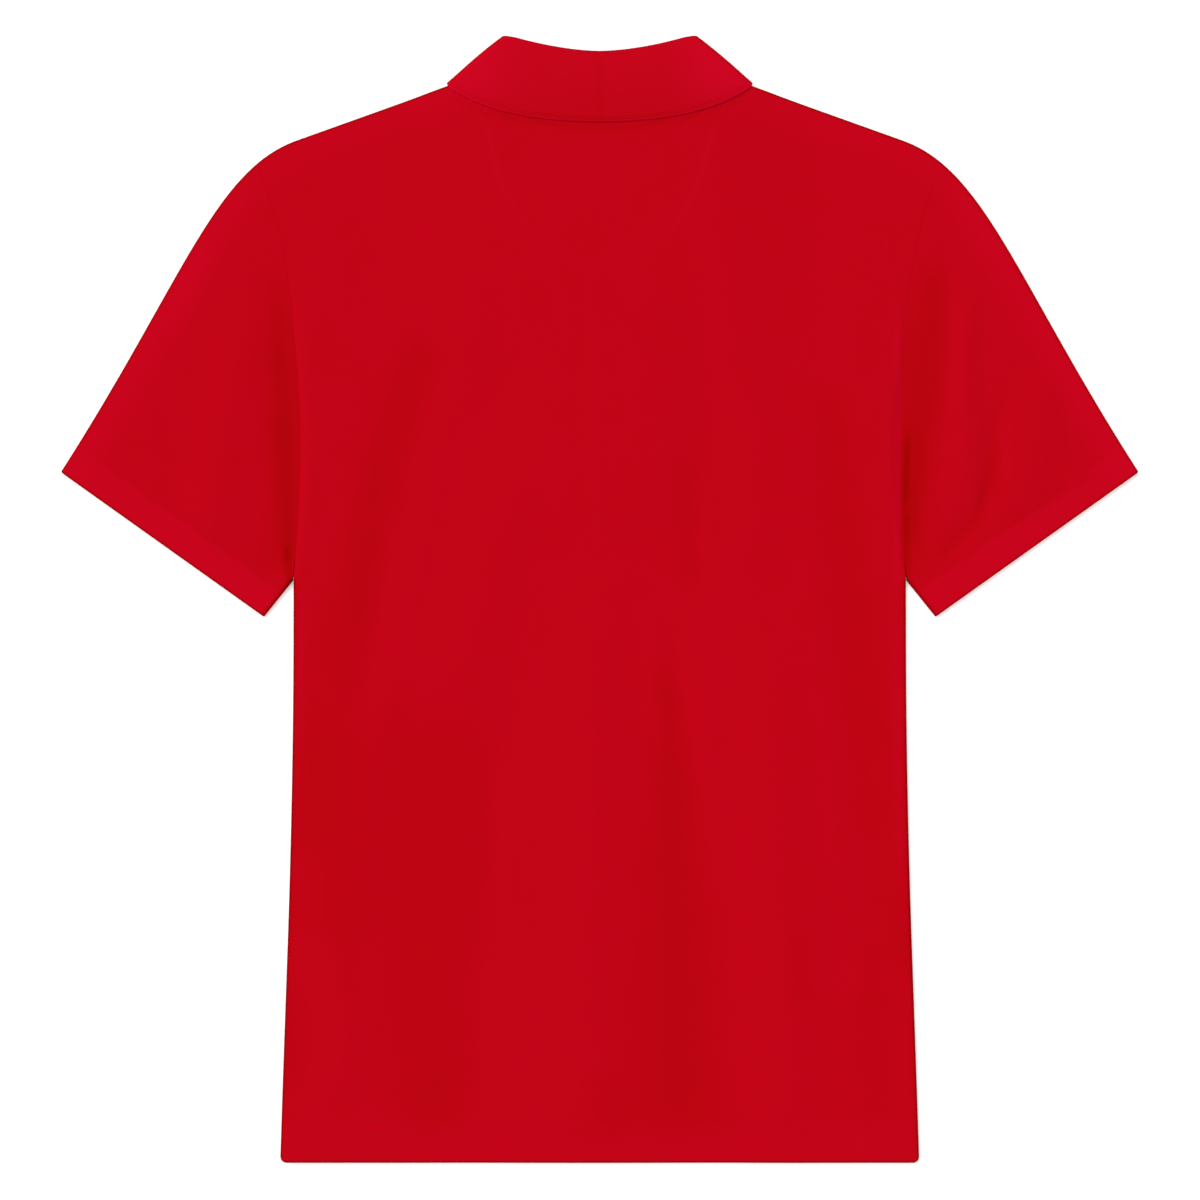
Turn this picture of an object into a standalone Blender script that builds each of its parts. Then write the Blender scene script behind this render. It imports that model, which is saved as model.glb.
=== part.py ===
# A short-sleeved polo shirt, laid flat on its front with the back up.
# +X is the shirt's right side as it lies, +Y runs up to the collar, +Z is up.
# The origin is the middle of the shirt's outline, on the surface it lies on.

import math

import bmesh
import bpy
import numpy as np

MM = 0.001  # sizes below are in millimetres, and mesh points are written in metres

# cloth
CLOTH = 1.1
HEM_EXTRA = 0.6
COLLAR_CLOTH = 1.3
HALF_MOON_CLOTH = 1.0
SEAM_GAP = 0.3

# body, as it lies
HEM_Y = -377.2
HEM_BAND = 26.0
HEM_STEP = 1.5
HEM_CORNER = 4.0
ARMPIT_X = 205.1
ARMPIT_Y = 13.0
SHOULDER_TIP_X = 229.3
NECK_HALF = 75.0
NECK_DROP_BACK = 20.5
NECK_DROP_FRONT = 98.0
NECK_CURVE_BACK = 2.2
NECK_CURVE_FRONT = 2.6
COLLAR_SIDE_X = 103.2
SHOULDER_Y_AT_COLLAR = 343.2
SHOULDER_SLOPE = -0.358

BODY_SIDES = (
    # place, height along the shirt, half width
    ("hem", -377.2, 214.1),
    ("above the hem", -322.0, 212.3),
    ("hip", -268.0, 210.4),
    ("waist", -201.0, 208.1),
    ("ribs", -134.0, 206.4),
    ("chest", -67.0, 205.4),
    ("armpit", 13.0, 205.1),
)

ARMHOLE = (
    # place, height along the shirt, distance from the middle
    ("armpit", 13.0, 205.1),
    ("low", 64.0, 201.6),
    ("middle", 110.0, 200.6),
    ("high", 173.0, 204.2),
    ("upper", 223.0, 209.8),
    ("cap", 262.0, 218.4),
    ("tip", 296.0, 231.0),
)
FRONT_ARMHOLE_DEEPER = 6.0
ARMHOLE_GAP = 0.46  # on the curve, which leaves 0.3 between the flat faces along it

# sleeve outline
CAP_START_X = 203.2
CAP_START_PULL = 58.7
CAP_POINTS = 40
SHOULDER_POINTS = 9
CUFF_TOP = (361.1, 85.3)
CUFF_END_PULL = 150.6
CUFF_EDGE_ANGLE = 57.3
CUFF_BOTTOM = (224.9, -11.7)
CUFF_BAND = 16.5
CUFF_CORNER = 1.6
ARMHOLE_BLEND = 0.06  # share of the armhole in which the sleeve eases to its folded ends
UNDERARM_START = 0.03  # share of the underarm line kept clear of the armpit
SLEEVE_RINGS = (0.0, 0.05, 0.13, 0.23, 0.34, 0.46, 0.58, 0.70, 0.81)
SLEEVE_SPANS_UPPER = 10
SLEEVE_SPANS_LOWER = 4

# heights of the middle of each wall
EDGE_ROLL = 1.6
EDGE_HALO = 0.1  # a point this close to a folded edge lies on it
EDGE_POINTS = 60
FRONT_MID = CLOTH / 2
BACK_MID = 3.7
LEAF_LIFT = 2.1
LIFT_RAMP = 24.0
LEAF_CLEAR = 14.0
HEM_FLATNESS = 0.45  # share of a fold's height that is left at the hem
HEM_EASE = 60.0
ROLL_EASE = 8.0

TENTS = (
    # what lies under the back, half width, side ramp, lowest height along the shirt, end ramp, rise
    ("placket", 90.0, 68.0, 15.0, 85.0, 2.0),
    ("half-moon and collar", 150.0, 74.0, 112.0, 108.0, 3.05),
)
TENT_BLEND = 4

# placket and buttons
PLACKET_HALF = 15.0
SLIT_ROW = 122.0
PLACKET_TOP_GAP = 0.8
PLACKET_ROWS = 7
BUTTON_RADIUS = 5.75
BUTTON_THICK = 1.8
BUTTON_RIM = 1.1
BUTTON_DISH = 0.5
BUTTON_BEVEL = 0.45
BUTTON_SIDES = 16
BUTTON_HOLE = 0.8
BUTTON_HOLE_RING = 1.7
BUTTON_COUNT = 3
BUTTON_FIRST_DOWN = 12.0
BUTTON_PITCH = 54.0

# half-moon inside the back neck
HALF_MOON_CENTRE_Y = 335.0
HALF_MOON_HALF = 76.0
HALF_MOON_DEPTH = 112.0
HALF_MOON_COLUMNS = 15
HALF_MOON_ROWS = 8
HALF_MOON_NECK_GAP = 1.0
HALF_MOON_SHOULDER_GAP = 7.0

# collar
COLLAR_FRONT_GAP = 1.5
FOLD_RADIUS = 0.95
FOLD_MID_Y = 365.8
FOLD_RISE = 11.4
FOLD_CURVE = 1.72
FOLD_SIDE = (64.4, 375.7)
FOLD_SIDE_FROM = (59.9, 375.5)
FOLD_SIDE_TO = (62.0, 373.4)
FOLD_FRONT_Y = 288.0
FALL_MID_Y = 319.3
FALL_SIDE = (102.2, 345.0)
FALL_SIDE_FROM = (99.9, 341.6)
FALL_SIDE_TO = (100.9, 342.2)
COLLAR_POINT = (60.0, 255.0)
FALL_CROWN = 1.6
FALL_LIFT = 1.6
FALL_EDGE_DROP = 2.2
FALL_CURVE = 0.58
COLLAR_SEAM_GAP = 0.45
COLLAR_LAST_COLUMN = 66.0
COLLAR_TURN = (0.2, 0.4, 0.6, 0.8)
STAND_STEPS = (0.0, 0.33, 0.66)
FALL_STEPS = (0.2, 0.4, 0.6, 0.8, 1.0)
STAND_SIDE = (73.8, 355.4)
STAND_SIDE_FROM = (69.8, 351.2)
STAND_SIDE_START = 0.3

NECK_COLUMNS_BACK = (0.0, 15.15, 34.0, 54.0, 75.0)
NECK_COLUMNS_FRONT = (0.0, 15.15, 34.0, 54.0, 67.0, 73.0, 75.0)
FRONT_COLUMNS = NECK_COLUMNS_FRONT[:-1] + (74.5, 75.0, 92.0, 108.0, 124.0)
EDGE_STEPS = (0.5, 0.13, 0.0)
BACK_ROW_STEP = 24.0
BACK_SPANS = 7
FRONT_ROW_STEP_BELOW = 48.0
FRONT_ROW_STEP_ABOVE = 20.0
FRONT_SPANS = 2
ROW_LEAN = 3

FOLDS = (
    # name, start x, start y, end x, end y, width at start, width at end, height
    ("left diagonal trough", -112, 180, -190, -150, 24, 34, -1.2),
    ("left side ridge", -160, 60, -196, -230, 22, 26, 1.2),
    ("lower left ridge", -160, -60, -172, -330, 40, 34, 1.5),
    ("lower left trough", -66, -70, -92, -372, 30, 40, -1.5),
    ("middle ridge", -6, -10, -8, -376, 30, 50, 1.7),
    ("flute trough", 50, -30, 78, -376, 14, 42, -1.6),
    ("right ridge", 112, -40, 132, -376, 30, 44, 1.7),
    ("right diagonal trough", 150, 140, 190, -240, 20, 26, -1.3),
    ("upper left ridge", -60, 90, -96, -60, 34, 40, 1.1),
    ("upper right ridge", 96, 190, 108, 30, 30, 34, 1.1),
    ("back blade crease", 58, 95, 62, 10, 14, 18, -0.9),
    ("left sleeve crown", -240, 190, -262, 40, 26, 32, 1.7),
    ("right sleeve crown", 246, 200, 244, 70, 12, 18, 1.6),
    ("right sleeve crown, outer", 300, 150, 282, 60, 22, 26, 1.5),
    ("right sleeve bend", 266, 130, 262, 66, 12, 14, -1.0),
    ("right sleeve bend, lower", 262, 66, 232, 32, 12, 12, -1.0),
)
VALLEY_DEPTH = 1.5
VALLEY_SLEEVE_WIDTH = 34.0
VALLEY_BODY_WIDTH = 4.0
VALLEY_RISE = 24.0
VALLEY_TOP_Y = 235.0
VALLEY_FADE = 90.0
FOLD_FADE = 26.0
FOLD_OVERRUN = 0.12  # share of a fold's length by which it runs past its ends
FOLD_TAPER_START = 0.3
FOLD_TAPER_END = 0.24
LOWEST_FOLD = -1.55
HIGHEST_FOLD = 1.75
HEM_RELIEF = 1.25

RED = (0.50, 0.001, 0.007)
BUTTON_RED = (0.42, 0.001, 0.006)


def ease(value):
    value = np.clip(value, 0.0, 1.0)
    return value * value * (3 - 2 * value)


def column(table, index):
    return np.array([row[index] for row in table], dtype=float)


def smooth_through(heights, values, at):
    """A smooth curve through the rows of a table, with slopes from the neighbouring rows."""
    slopes = np.gradient(values, heights)
    k = np.clip(np.searchsorted(heights, at) - 1, 0, len(heights) - 2)
    span = heights[k + 1] - heights[k]
    t = (at - heights[k]) / span
    start = (1 + 2 * t) * (1 - t) ** 2 * values[k] + t * (1 - t) ** 2 * span * slopes[k]
    end = t * t * (3 - 2 * t) * values[k + 1] + t * t * (t - 1) * span * slopes[k + 1]
    return start + end


def side_x(y):
    return smooth_through(column(BODY_SIDES, 1), column(BODY_SIDES, 2), np.asarray(y, dtype=float))


def armhole_x(y):
    y = np.clip(np.asarray(y, dtype=float), ARMPIT_Y, ARMHOLE[-1][1])
    return smooth_through(column(ARMHOLE, 1), column(ARMHOLE, 2), y)


def front_armhole_x(y):
    rise = (np.asarray(y, dtype=float) - ARMPIT_Y) / (ARMHOLE[-1][1] - ARMPIT_Y)
    return armhole_x(y) - FRONT_ARMHOLE_DEEPER * np.sin(math.pi * np.clip(rise, 0, 1))


def inset_path(points, distance, inward):
    """The same path moved sideways, towards the side that `inward` points to."""
    along = np.gradient(points, axis=0)
    along /= np.linalg.norm(along, axis=1)[:, None]
    across = np.stack([-along[:, 1], along[:, 0]], axis=1)
    if np.mean(across @ np.array(inward)) < 0:
        across = -across
    return points + across * distance


def shoulder_and_sleeve_top():
    """Outline from the neck over the shoulder and down the top of the sleeve to the cuff."""
    start_y = SHOULDER_Y_AT_COLLAR + SHOULDER_SLOPE * (CAP_START_X - COLLAR_SIDE_X)
    start = np.array([CAP_START_X, start_y])
    slope = np.array([1.0, SHOULDER_SLOPE]) / math.hypot(1.0, SHOULDER_SLOPE)
    angle = math.radians(CUFF_EDGE_ANGLE)
    end = np.array(CUFF_TOP)
    pull_start = start + CAP_START_PULL * slope
    pull_end = end - CUFF_END_PULL * np.array([math.cos(angle), -math.sin(angle)])
    t = np.linspace(0, 1, CAP_POINTS)[1:, None]
    cap = (1 - t) ** 3 * start + 3 * (1 - t) ** 2 * t * pull_start
    cap += 3 * (1 - t) * t * t * pull_end + t ** 3 * end
    neck = start + slope * (NECK_HALF - CAP_START_X) / slope[0]
    shoulder = [neck + (start - neck) * share for share in np.linspace(0, 1, SHOULDER_POINTS)]
    return inset_path(np.vstack([shoulder, cap]), CLOTH / 2, (-0.4, -0.9))


TOP_LINE = shoulder_and_sleeve_top()
NECK_SIDE_Y = float(np.interp(NECK_HALF, TOP_LINE[:, 0], TOP_LINE[:, 1]))
TIP_Y = float(np.interp(SHOULDER_TIP_X, TOP_LINE[:, 0], TOP_LINE[:, 1]))
UNDERARM_LINE = inset_path(np.array([(ARMPIT_X, ARMPIT_Y), CUFF_BOTTOM]), CLOTH / 2, (0.7, 0.7))


def shoulder_y(x):
    return np.interp(np.abs(x), TOP_LINE[:, 0], TOP_LINE[:, 1])


def neck_back_y(x):
    return NECK_SIDE_Y - NECK_DROP_BACK * (1 - (np.abs(x) / NECK_HALF) ** NECK_CURVE_BACK)


def neck_front_y(x):
    return NECK_SIDE_Y - NECK_DROP_FRONT * (1 - (np.abs(x) / NECK_HALF) ** NECK_CURVE_FRONT)


def back_top_y(x):
    x = np.abs(x)
    return np.where(x < NECK_HALF, neck_back_y(x), shoulder_y(x))


def front_top_y(x):
    x = np.maximum(np.abs(x), NECK_COLUMNS_FRONT[1])
    return np.where(x < NECK_HALF, neck_front_y(x), shoulder_y(x))


def fold_lines():
    """Paths on the +X side where the upper and lower layers are joined, clockwise round the shirt."""
    side_heights = np.linspace(ARMPIT_Y, HEM_Y - 10, EDGE_POINTS)
    side = np.stack([side_x(np.maximum(side_heights, HEM_Y)) - CLOTH / 2, side_heights], axis=1)
    beyond_cuff = TOP_LINE[-1] + (TOP_LINE[-1] - TOP_LINE[-2])
    below_cuff = UNDERARM_LINE[1] + 0.5 * (UNDERARM_LINE[1] - UNDERARM_LINE[0])
    return [side, np.vstack([TOP_LINE, beyond_cuff]), np.vstack([UNDERARM_LINE, below_cuff])[::-1]]


FOLD_LINES = fold_lines()


def nearest_edge(x, y):
    """Distance to the nearest folded edge, and the direction towards it."""
    point = np.stack([np.abs(x), y], axis=-1)
    best = np.full(point.shape[:-1], np.inf)
    out = np.zeros_like(point)
    for path in FOLD_LINES:
        for a, b in zip(path[:-1], path[1:]):
            along = b - a
            t = np.clip(((point - a) @ along) / (along @ along), 0, 1)
            towards = a + t[..., None] * along - point
            distance = np.linalg.norm(towards, axis=-1)
            outward = np.array([-along[1], along[0]]) / np.linalg.norm(along)
            at_edge = (distance < EDGE_HALO) | (towards @ outward < 0)
            unit = towards / np.maximum(distance, EDGE_HALO)[..., None]
            direction = np.where(at_edge[..., None], outward, unit)
            distance = np.where(towards @ outward < 0, np.maximum(distance - EDGE_HALO, 0), distance)
            closer = distance < best
            best = np.where(closer, distance, best)
            out = np.where(closer[..., None], direction, out)
    return best, out * np.stack([np.where(x < 0, -1.0, 1.0), np.ones_like(best)], axis=-1)


def soft_folds(x, y):
    """Low ridges and troughs of the upper layer, from the table of folds."""
    height = np.zeros_like(x)
    for _, x0, y0, x1, y1, width0, width1, rise in FOLDS:
        start = np.array([x0, y0], dtype=float)
        along = np.array([x1 - x0, y1 - y0], dtype=float)
        length = np.linalg.norm(along)
        along /= length
        dx = x - start[0]
        dy = y - start[1]
        t = (dx * along[0] + dy * along[1]) / length
        across = np.abs(dx * along[1] - dy * along[0])
        width = width0 + (width1 - width0) * np.clip(t, 0, 1)
        taper = ease((t + FOLD_OVERRUN) / FOLD_TAPER_START) * ease((1 + FOLD_OVERRUN - t) / FOLD_TAPER_END)
        height += rise * taper * (1 - ease(across / width))
    return height


def armhole_valley(x, y):
    """The sleeve dips towards the lower half of the armhole seam, and the body drops to it steeply."""
    away = np.abs(x) - armhole_x(y)
    width = np.where(away > 0, VALLEY_SLEEVE_WIDTH, VALLEY_BODY_WIDTH)
    along = ease((y - ARMPIT_Y + VALLEY_RISE / 4) / VALLEY_RISE) * ease((VALLEY_TOP_Y - y) / VALLEY_FADE)
    return -VALLEY_DEPTH * along * (1 - ease(np.abs(away) / width))


def back_mid(x, y):
    """Height of the middle of the upper layer's wall, away from its folded edges."""
    x, y = np.broadcast_arrays(np.asarray(x, dtype=float), np.asarray(y, dtype=float))
    distance, _ = nearest_edge(x, y)
    across = np.abs(x)
    tent = np.zeros(x.shape)
    for _, half_width, side_ramp, low_y, end_ramp, rise in TENTS:
        over = rise * ease((half_width - across) / side_ramp) * ease((y - low_y) / end_ramp)
        tent += over ** TENT_BLEND
    tent = tent ** (1 / TENT_BLEND)
    above_hem = HEM_FLATNESS + (1 - HEM_FLATNESS) * ease((y - HEM_Y) / HEM_EASE)
    near_edges = ease(distance / FOLD_FADE) * above_hem
    folds = soft_folds(x, y) * near_edges + armhole_valley(x, y) * ease(distance / ROLL_EASE)
    lowest = LOWEST_FOLD + HEM_RELIEF * ease((HEM_Y + HEM_EASE - 4 - y) / HEM_BAND)
    return BACK_MID + tent + np.clip(folds, lowest, HIGHEST_FOLD)


def front_mid(x, y):
    """Height of the middle of the lower layer's wall: flat, but lifted by the collar and the placket."""
    x, y = np.broadcast_arrays(np.asarray(x, dtype=float), np.asarray(y, dtype=float))
    across = np.abs(x)
    over_placket = ease((PLACKET_HALF + LIFT_RAMP + 0.5 - across) / LIFT_RAMP)
    over_placket = over_placket * ease((y - slit_end() + LIFT_RAMP + 0.5) / LIFT_RAMP)
    leaf_slope = (FALL_SIDE[1] - COLLAR_POINT[1]) / (FALL_SIDE[0] - COLLAR_POINT[0])
    past_point = np.maximum(across - COLLAR_POINT[0] - LEAF_CLEAR / 2, 0)
    leaf_edge = COLLAR_POINT[1] - LEAF_CLEAR + leaf_slope * past_point
    over_leaf = ease((y - leaf_edge + LIFT_RAMP) / LIFT_RAMP)
    return FRONT_MID + LEAF_LIFT * np.maximum(over_placket, over_leaf)


def layer_points(x, y, upper):
    """Middle of a layer's wall and the direction across the wall, rolled over at the folded edges."""
    distance, out = nearest_edge(x, y)
    high = back_mid(x, y)
    low = front_mid(x, y)
    middle = (high + low) / 2
    level = 1 - np.clip(distance / EDGE_ROLL, 0, 1)
    rise = np.sqrt(np.clip(1 - level * level, 0, 1))
    z = middle + (high - middle) * rise if upper else middle - (middle - low) * rise
    centre = np.stack([x, y, z], axis=-1)
    tilt = rise if upper else -rise
    across = np.concatenate([out * level[..., None], tilt[..., None]], axis=-1)
    return centre, across


def surface_material(name, colour, roughness):
    material = bpy.data.materials.new(name)
    material.use_nodes = True
    shader = material.node_tree.nodes["Principled BSDF"]
    shader.inputs["Base Color"].default_value = (*colour, 1)
    shader.inputs["Roughness"].default_value = roughness
    shader.inputs["Metallic"].default_value = 0.0
    return material


def finish_object(name, mesh_data, colour, roughness):
    """An object with outward faces, smooth shading and its own material."""
    if mesh_data.calc_volume(signed=True) < 0:
        bmesh.ops.reverse_faces(mesh_data, faces=mesh_data.faces)
    mesh = bpy.data.meshes.new(name)
    mesh_data.to_mesh(mesh)
    mesh_data.free()
    mesh.shade_smooth()
    mesh.set_sharp_from_angle(angle=math.radians(40))
    mesh.materials.append(surface_material(name + "_surface", colour, roughness))
    made = bpy.data.objects.new(name, mesh)
    bpy.context.scene.collection.objects.link(made)
    return made


def split_cell(grid, corners):
    """Two triangles of a cell, along its shorter diagonal, so that both faces of a wall fold alike."""
    a, b, c, d = corners
    if np.linalg.norm(grid[a] - grid[c]) <= np.linalg.norm(grid[b] - grid[d]):
        return (a, b, c), (a, c, d)
    return (a, b, d), (b, c, d)


def wall_object(name, outer, inner, cell_kept=None, closed=False, colour=RED, roughness=0.85):
    """A cloth wall between two grids of points, closed along every free edge."""
    rows, columns = outer.shape[:2]
    mesh_data = bmesh.new()
    sides = []
    for grid in (outer, inner):
        sides.append([[None] * columns for _ in range(rows)])
    used = np.zeros((rows, columns), dtype=bool)
    cells = []
    last = columns if closed else columns - 1
    for i in range(rows - 1):
        for j in range(last):
            if cell_kept is None or cell_kept(i, j):
                corners = ((i, j), (i, (j + 1) % columns), (i + 1, (j + 1) % columns), (i + 1, j))
                cells.append(corners)
                for corner in corners:
                    used[corner] = True
    for side, grid in zip(sides, (outer, inner)):
        for i, j in zip(*np.nonzero(used)):
            side[i][j] = mesh_data.verts.new(grid[i, j] * MM)
    free_edges = set()
    for corners in cells:
        for triangle in split_cell(outer, corners):
            mesh_data.faces.new([sides[0][i][j] for i, j in triangle])
            mesh_data.faces.new([sides[1][i][j] for i, j in reversed(triangle)])
        for a, b in zip(corners, corners[1:] + corners[:1]):
            if (b, a) in free_edges:
                free_edges.discard((b, a))
            else:
                free_edges.add((a, b))
    for (i, j), (k, m) in sorted(free_edges):
        mesh_data.faces.new([sides[0][i][j], sides[1][i][j], sides[1][k][m], sides[0][k][m]])
    return finish_object(name, mesh_data, colour, roughness)


def corner_inset(distance, radius):
    """How far an outline draws in, this far from a corner of that radius."""
    left = radius - np.clip(distance, 0, radius)
    return radius - np.sqrt(radius * radius - left * left)


def hem_extra(distance, band):
    """Extra wall inside a turned-up hem, this far from its edge."""
    return HEM_EXTRA * np.clip((band + HEM_STEP - distance) / HEM_STEP, 0, 1)


def side_rows(step_below, step_above, slit_row=None):
    """Heights, at the side, of a body panel's rows."""
    hem = [0, 0.3 * HEM_CORNER, HEM_CORNER, HEM_BAND, HEM_BAND + HEM_STEP]
    rows = [HEM_Y + rise for rise in hem]
    below = math.ceil((ARMPIT_Y - rows[-1]) / step_below)
    rows += list(np.linspace(rows[-1], ARMPIT_Y, below + 1)[1:])
    rows.append(ARMPIT_Y + EDGE_ROLL)
    top = TIP_Y - 2 * EDGE_ROLL
    above = math.ceil((top - rows[-1]) / step_above)
    rows += list(np.linspace(rows[-1], top, above + 1)[1:])
    rows += [TIP_Y - EDGE_ROLL * step for step in EDGE_STEPS]
    if slit_row is not None:
        nearest = int(np.argmin(np.abs(np.array(rows) - slit_row)))
        rows[nearest] = slit_row
    return np.array(rows)


def row_lean(side_height):
    """How much of the rise of the shoulders and neck a row has taken up, 0 at the hem and 1 at the top."""
    return ((side_height - HEM_Y) / (TIP_Y - HEM_Y)) ** ROW_LEAN


def slit_end():
    edge = NECK_COLUMNS_FRONT[1]
    return float(SLIT_ROW + (front_top_y(edge) - TIP_Y) * row_lean(SLIT_ROW))


def body_plan(rows, columns, spans, top_y, armhole):
    """Plan of a body panel: rows from the hem up, columns from -X to +X."""
    plan = []
    for height in rows:
        if height <= ARMPIT_Y:
            half = float(side_x(height)) - CLOTH / 2 - corner_inset(height - HEM_Y, HEM_CORNER)
        else:
            half = float(armhole(height)) - ARMHOLE_GAP / 2
        inner = half - EDGE_ROLL
        right = list(columns)
        right += [columns[-1] + (inner - columns[-1]) * (k + 1) / spans for k in range(spans)]
        right += [half - EDGE_ROLL * step for step in EDGE_STEPS]
        xs = np.array([-x for x in reversed(right[1:])] + right)
        stretch = (SHOULDER_TIP_X - NECK_HALF) / (half - NECK_HALF)
        widest = NECK_HALF + (np.abs(xs) - NECK_HALF) * stretch
        spread = np.where(np.abs(xs) > NECK_HALF, widest, np.abs(xs))
        ys = height + (top_y(spread) - TIP_Y) * row_lean(height)
        plan.append(np.stack([xs, ys], axis=1))
    return np.array(plan)


def sheet_from_plan(plan, upper, extra):
    """Outer and inner points of a body panel's wall; the hem's extra cloth is inside."""
    centre, across = layer_points(plan[..., 0], plan[..., 1], upper)
    return centre + across * CLOTH / 2, centre - across * (CLOTH / 2 + extra)[..., None]


def parted(points, distance, upper):
    """Keeps half the seam gap between the two layers where their rolled edges meet."""
    shift = np.where(distance < EDGE_HALO, SEAM_GAP / 2 if upper else -SEAM_GAP / 2, 0.0)
    moved = points.copy()
    moved[..., 2] += shift
    return moved


def body_panel(name, rows, columns, spans, top_y, armhole, upper, cell_kept=None):
    plan = body_plan(rows, columns, spans, top_y, armhole)
    distance, _ = nearest_edge(plan[..., 0], plan[..., 1])
    extra = hem_extra(plan[..., 1] - HEM_Y, HEM_BAND) * (distance > EDGE_ROLL * 0.9)
    outer, inner = sheet_from_plan(plan, upper, extra)
    return wall_object(name, parted(outer, distance, upper), parted(inner, distance, upper), cell_kept)


def make_back():
    rows = side_rows(BACK_ROW_STEP, BACK_ROW_STEP)
    return body_panel("back", rows, NECK_COLUMNS_BACK, BACK_SPANS, back_top_y, armhole_x, True)


def make_front():
    rows = side_rows(FRONT_ROW_STEP_BELOW, FRONT_ROW_STEP_ABOVE, SLIT_ROW)
    slit_from = int(np.argmin(np.abs(rows - SLIT_ROW)))
    middle = len(FRONT_COLUMNS) - 1 + FRONT_SPANS + len(EDGE_STEPS)

    def cell_kept(i, j):
        in_slit = j in (middle - 1, middle)
        return not (in_slit and i >= slit_from)

    spans = FRONT_SPANS
    return body_panel("front", rows, FRONT_COLUMNS, spans, front_top_y, front_armhole_x, False, cell_kept)


def along_path(path, share):
    """Point at a share of a path's length."""
    steps = np.linalg.norm(np.diff(path, axis=0), axis=1)
    run = np.concatenate([[0], np.cumsum(steps)]) / steps.sum()
    return np.array([np.interp(share, run, path[:, 0]), np.interp(share, run, path[:, 1])])


def sleeve_plan(shares, steps, armhole):
    """Plan of one layer of the +X sleeve: rings from the armhole to the cuff, from the top edge down."""
    tip = np.array([SHOULDER_TIP_X, TIP_Y])
    beyond_tip = TOP_LINE[TOP_LINE[:, 0] > SHOULDER_TIP_X + 0.4]
    top_edge = np.vstack([tip + (0.35, -0.2), beyond_tip])
    under_edge = UNDERARM_LINE.copy()
    under_edge[0] += (under_edge[1] - under_edge[0]) * UNDERARM_START
    armhole_ends = [float(armhole(edge[0][1])) + ARMHOLE_GAP / 2 for edge in (top_edge, under_edge)]
    plan = []
    for whole_share in shares:
        span = np.linalg.norm(along_path(top_edge, whole_share) - along_path(under_edge, whole_share))
        ring = []
        for kind, value in steps:
            inset = value * EDGE_ROLL / span
            v = {"top": inset, "span": value, "under": 1 - inset}[kind]
            set_back = corner_inset(min(v, 1 - v) * span, CUFF_CORNER)
            share = min(whole_share, 1 - set_back / np.linalg.norm(top_edge[-1] - tip))
            a = along_path(top_edge, share)
            b = along_path(under_edge, share)
            height = top_edge[0][1] + (under_edge[0][1] - top_edge[0][1]) * v
            shift = (top_edge[0][0] - armhole_ends[0]) * float(ease(1 - v / ARMHOLE_BLEND))
            shift += (under_edge[0][0] - armhole_ends[1]) * float(ease(1 - (1 - v) / ARMHOLE_BLEND))
            at_armhole = np.array([float(armhole(height)) + ARMHOLE_GAP / 2 + shift, height])
            at_cuff = top_edge[-1] + (under_edge[-1] - top_edge[-1]) * v
            sides = (1 - v) * a + v * b
            ends = (1 - share) * at_armhole + share * at_cuff
            start = (1 - v) * top_edge[0] + v * under_edge[0]
            corners = (1 - share) * start + share * at_cuff
            ring.append(sides + ends - corners)
        plan.append(ring)
    return np.array(plan)


def make_sleeve(name, side):
    """One flattened tube, open at the armhole and at the cuff."""
    length = math.dist(CUFF_TOP, (SHOULDER_TIP_X, TIP_Y))
    band = 1 - CUFF_BAND / length
    band_step = HEM_STEP / length
    corner = CUFF_CORNER / length
    shares = [*SLEEVE_RINGS, band - band_step, band, 1 - 1.5 * corner, 1.0]
    roll_in = [("top", step) for step in (*reversed(EDGE_STEPS), 1.0)]
    roll_out = [("under", step) for step in (1.0, *EDGE_STEPS)]
    upper_spans = [("span", k / SLEEVE_SPANS_UPPER) for k in range(1, SLEEVE_SPANS_UPPER)]
    lower_spans = [("span", k / SLEEVE_SPANS_LOWER) for k in range(1, SLEEVE_SPANS_LOWER)]
    upper_steps = roll_in + upper_spans + roll_out
    lower_steps = roll_in[1:] + lower_spans + roll_out[:-1]
    upper_plan = sleeve_plan(shares, upper_steps, armhole_x)
    lower_plan = sleeve_plan(shares, lower_steps, front_armhole_x)[:, ::-1]
    rings = []
    for plan, upper in ((upper_plan, True), (lower_plan, False)):
        x = plan[..., 0] * side
        centre, across = layer_points(x, plan[..., 1], upper)
        distance, _ = nearest_edge(x, plan[..., 1])
        to_cuff = (1 - np.array(shares))[:, None] * length * np.ones_like(x)
        extra = hem_extra(to_cuff, CUFF_BAND) * (distance > EDGE_ROLL * 0.9)
        rings.append((centre + across * CLOTH / 2, centre - across * (CLOTH / 2 + extra)[..., None]))
    outer = np.concatenate([rings[0][0], rings[1][0]], axis=1)
    inner = np.concatenate([rings[0][1], rings[1][1]], axis=1)
    return wall_object(name, outer, inner, closed=True)


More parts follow.
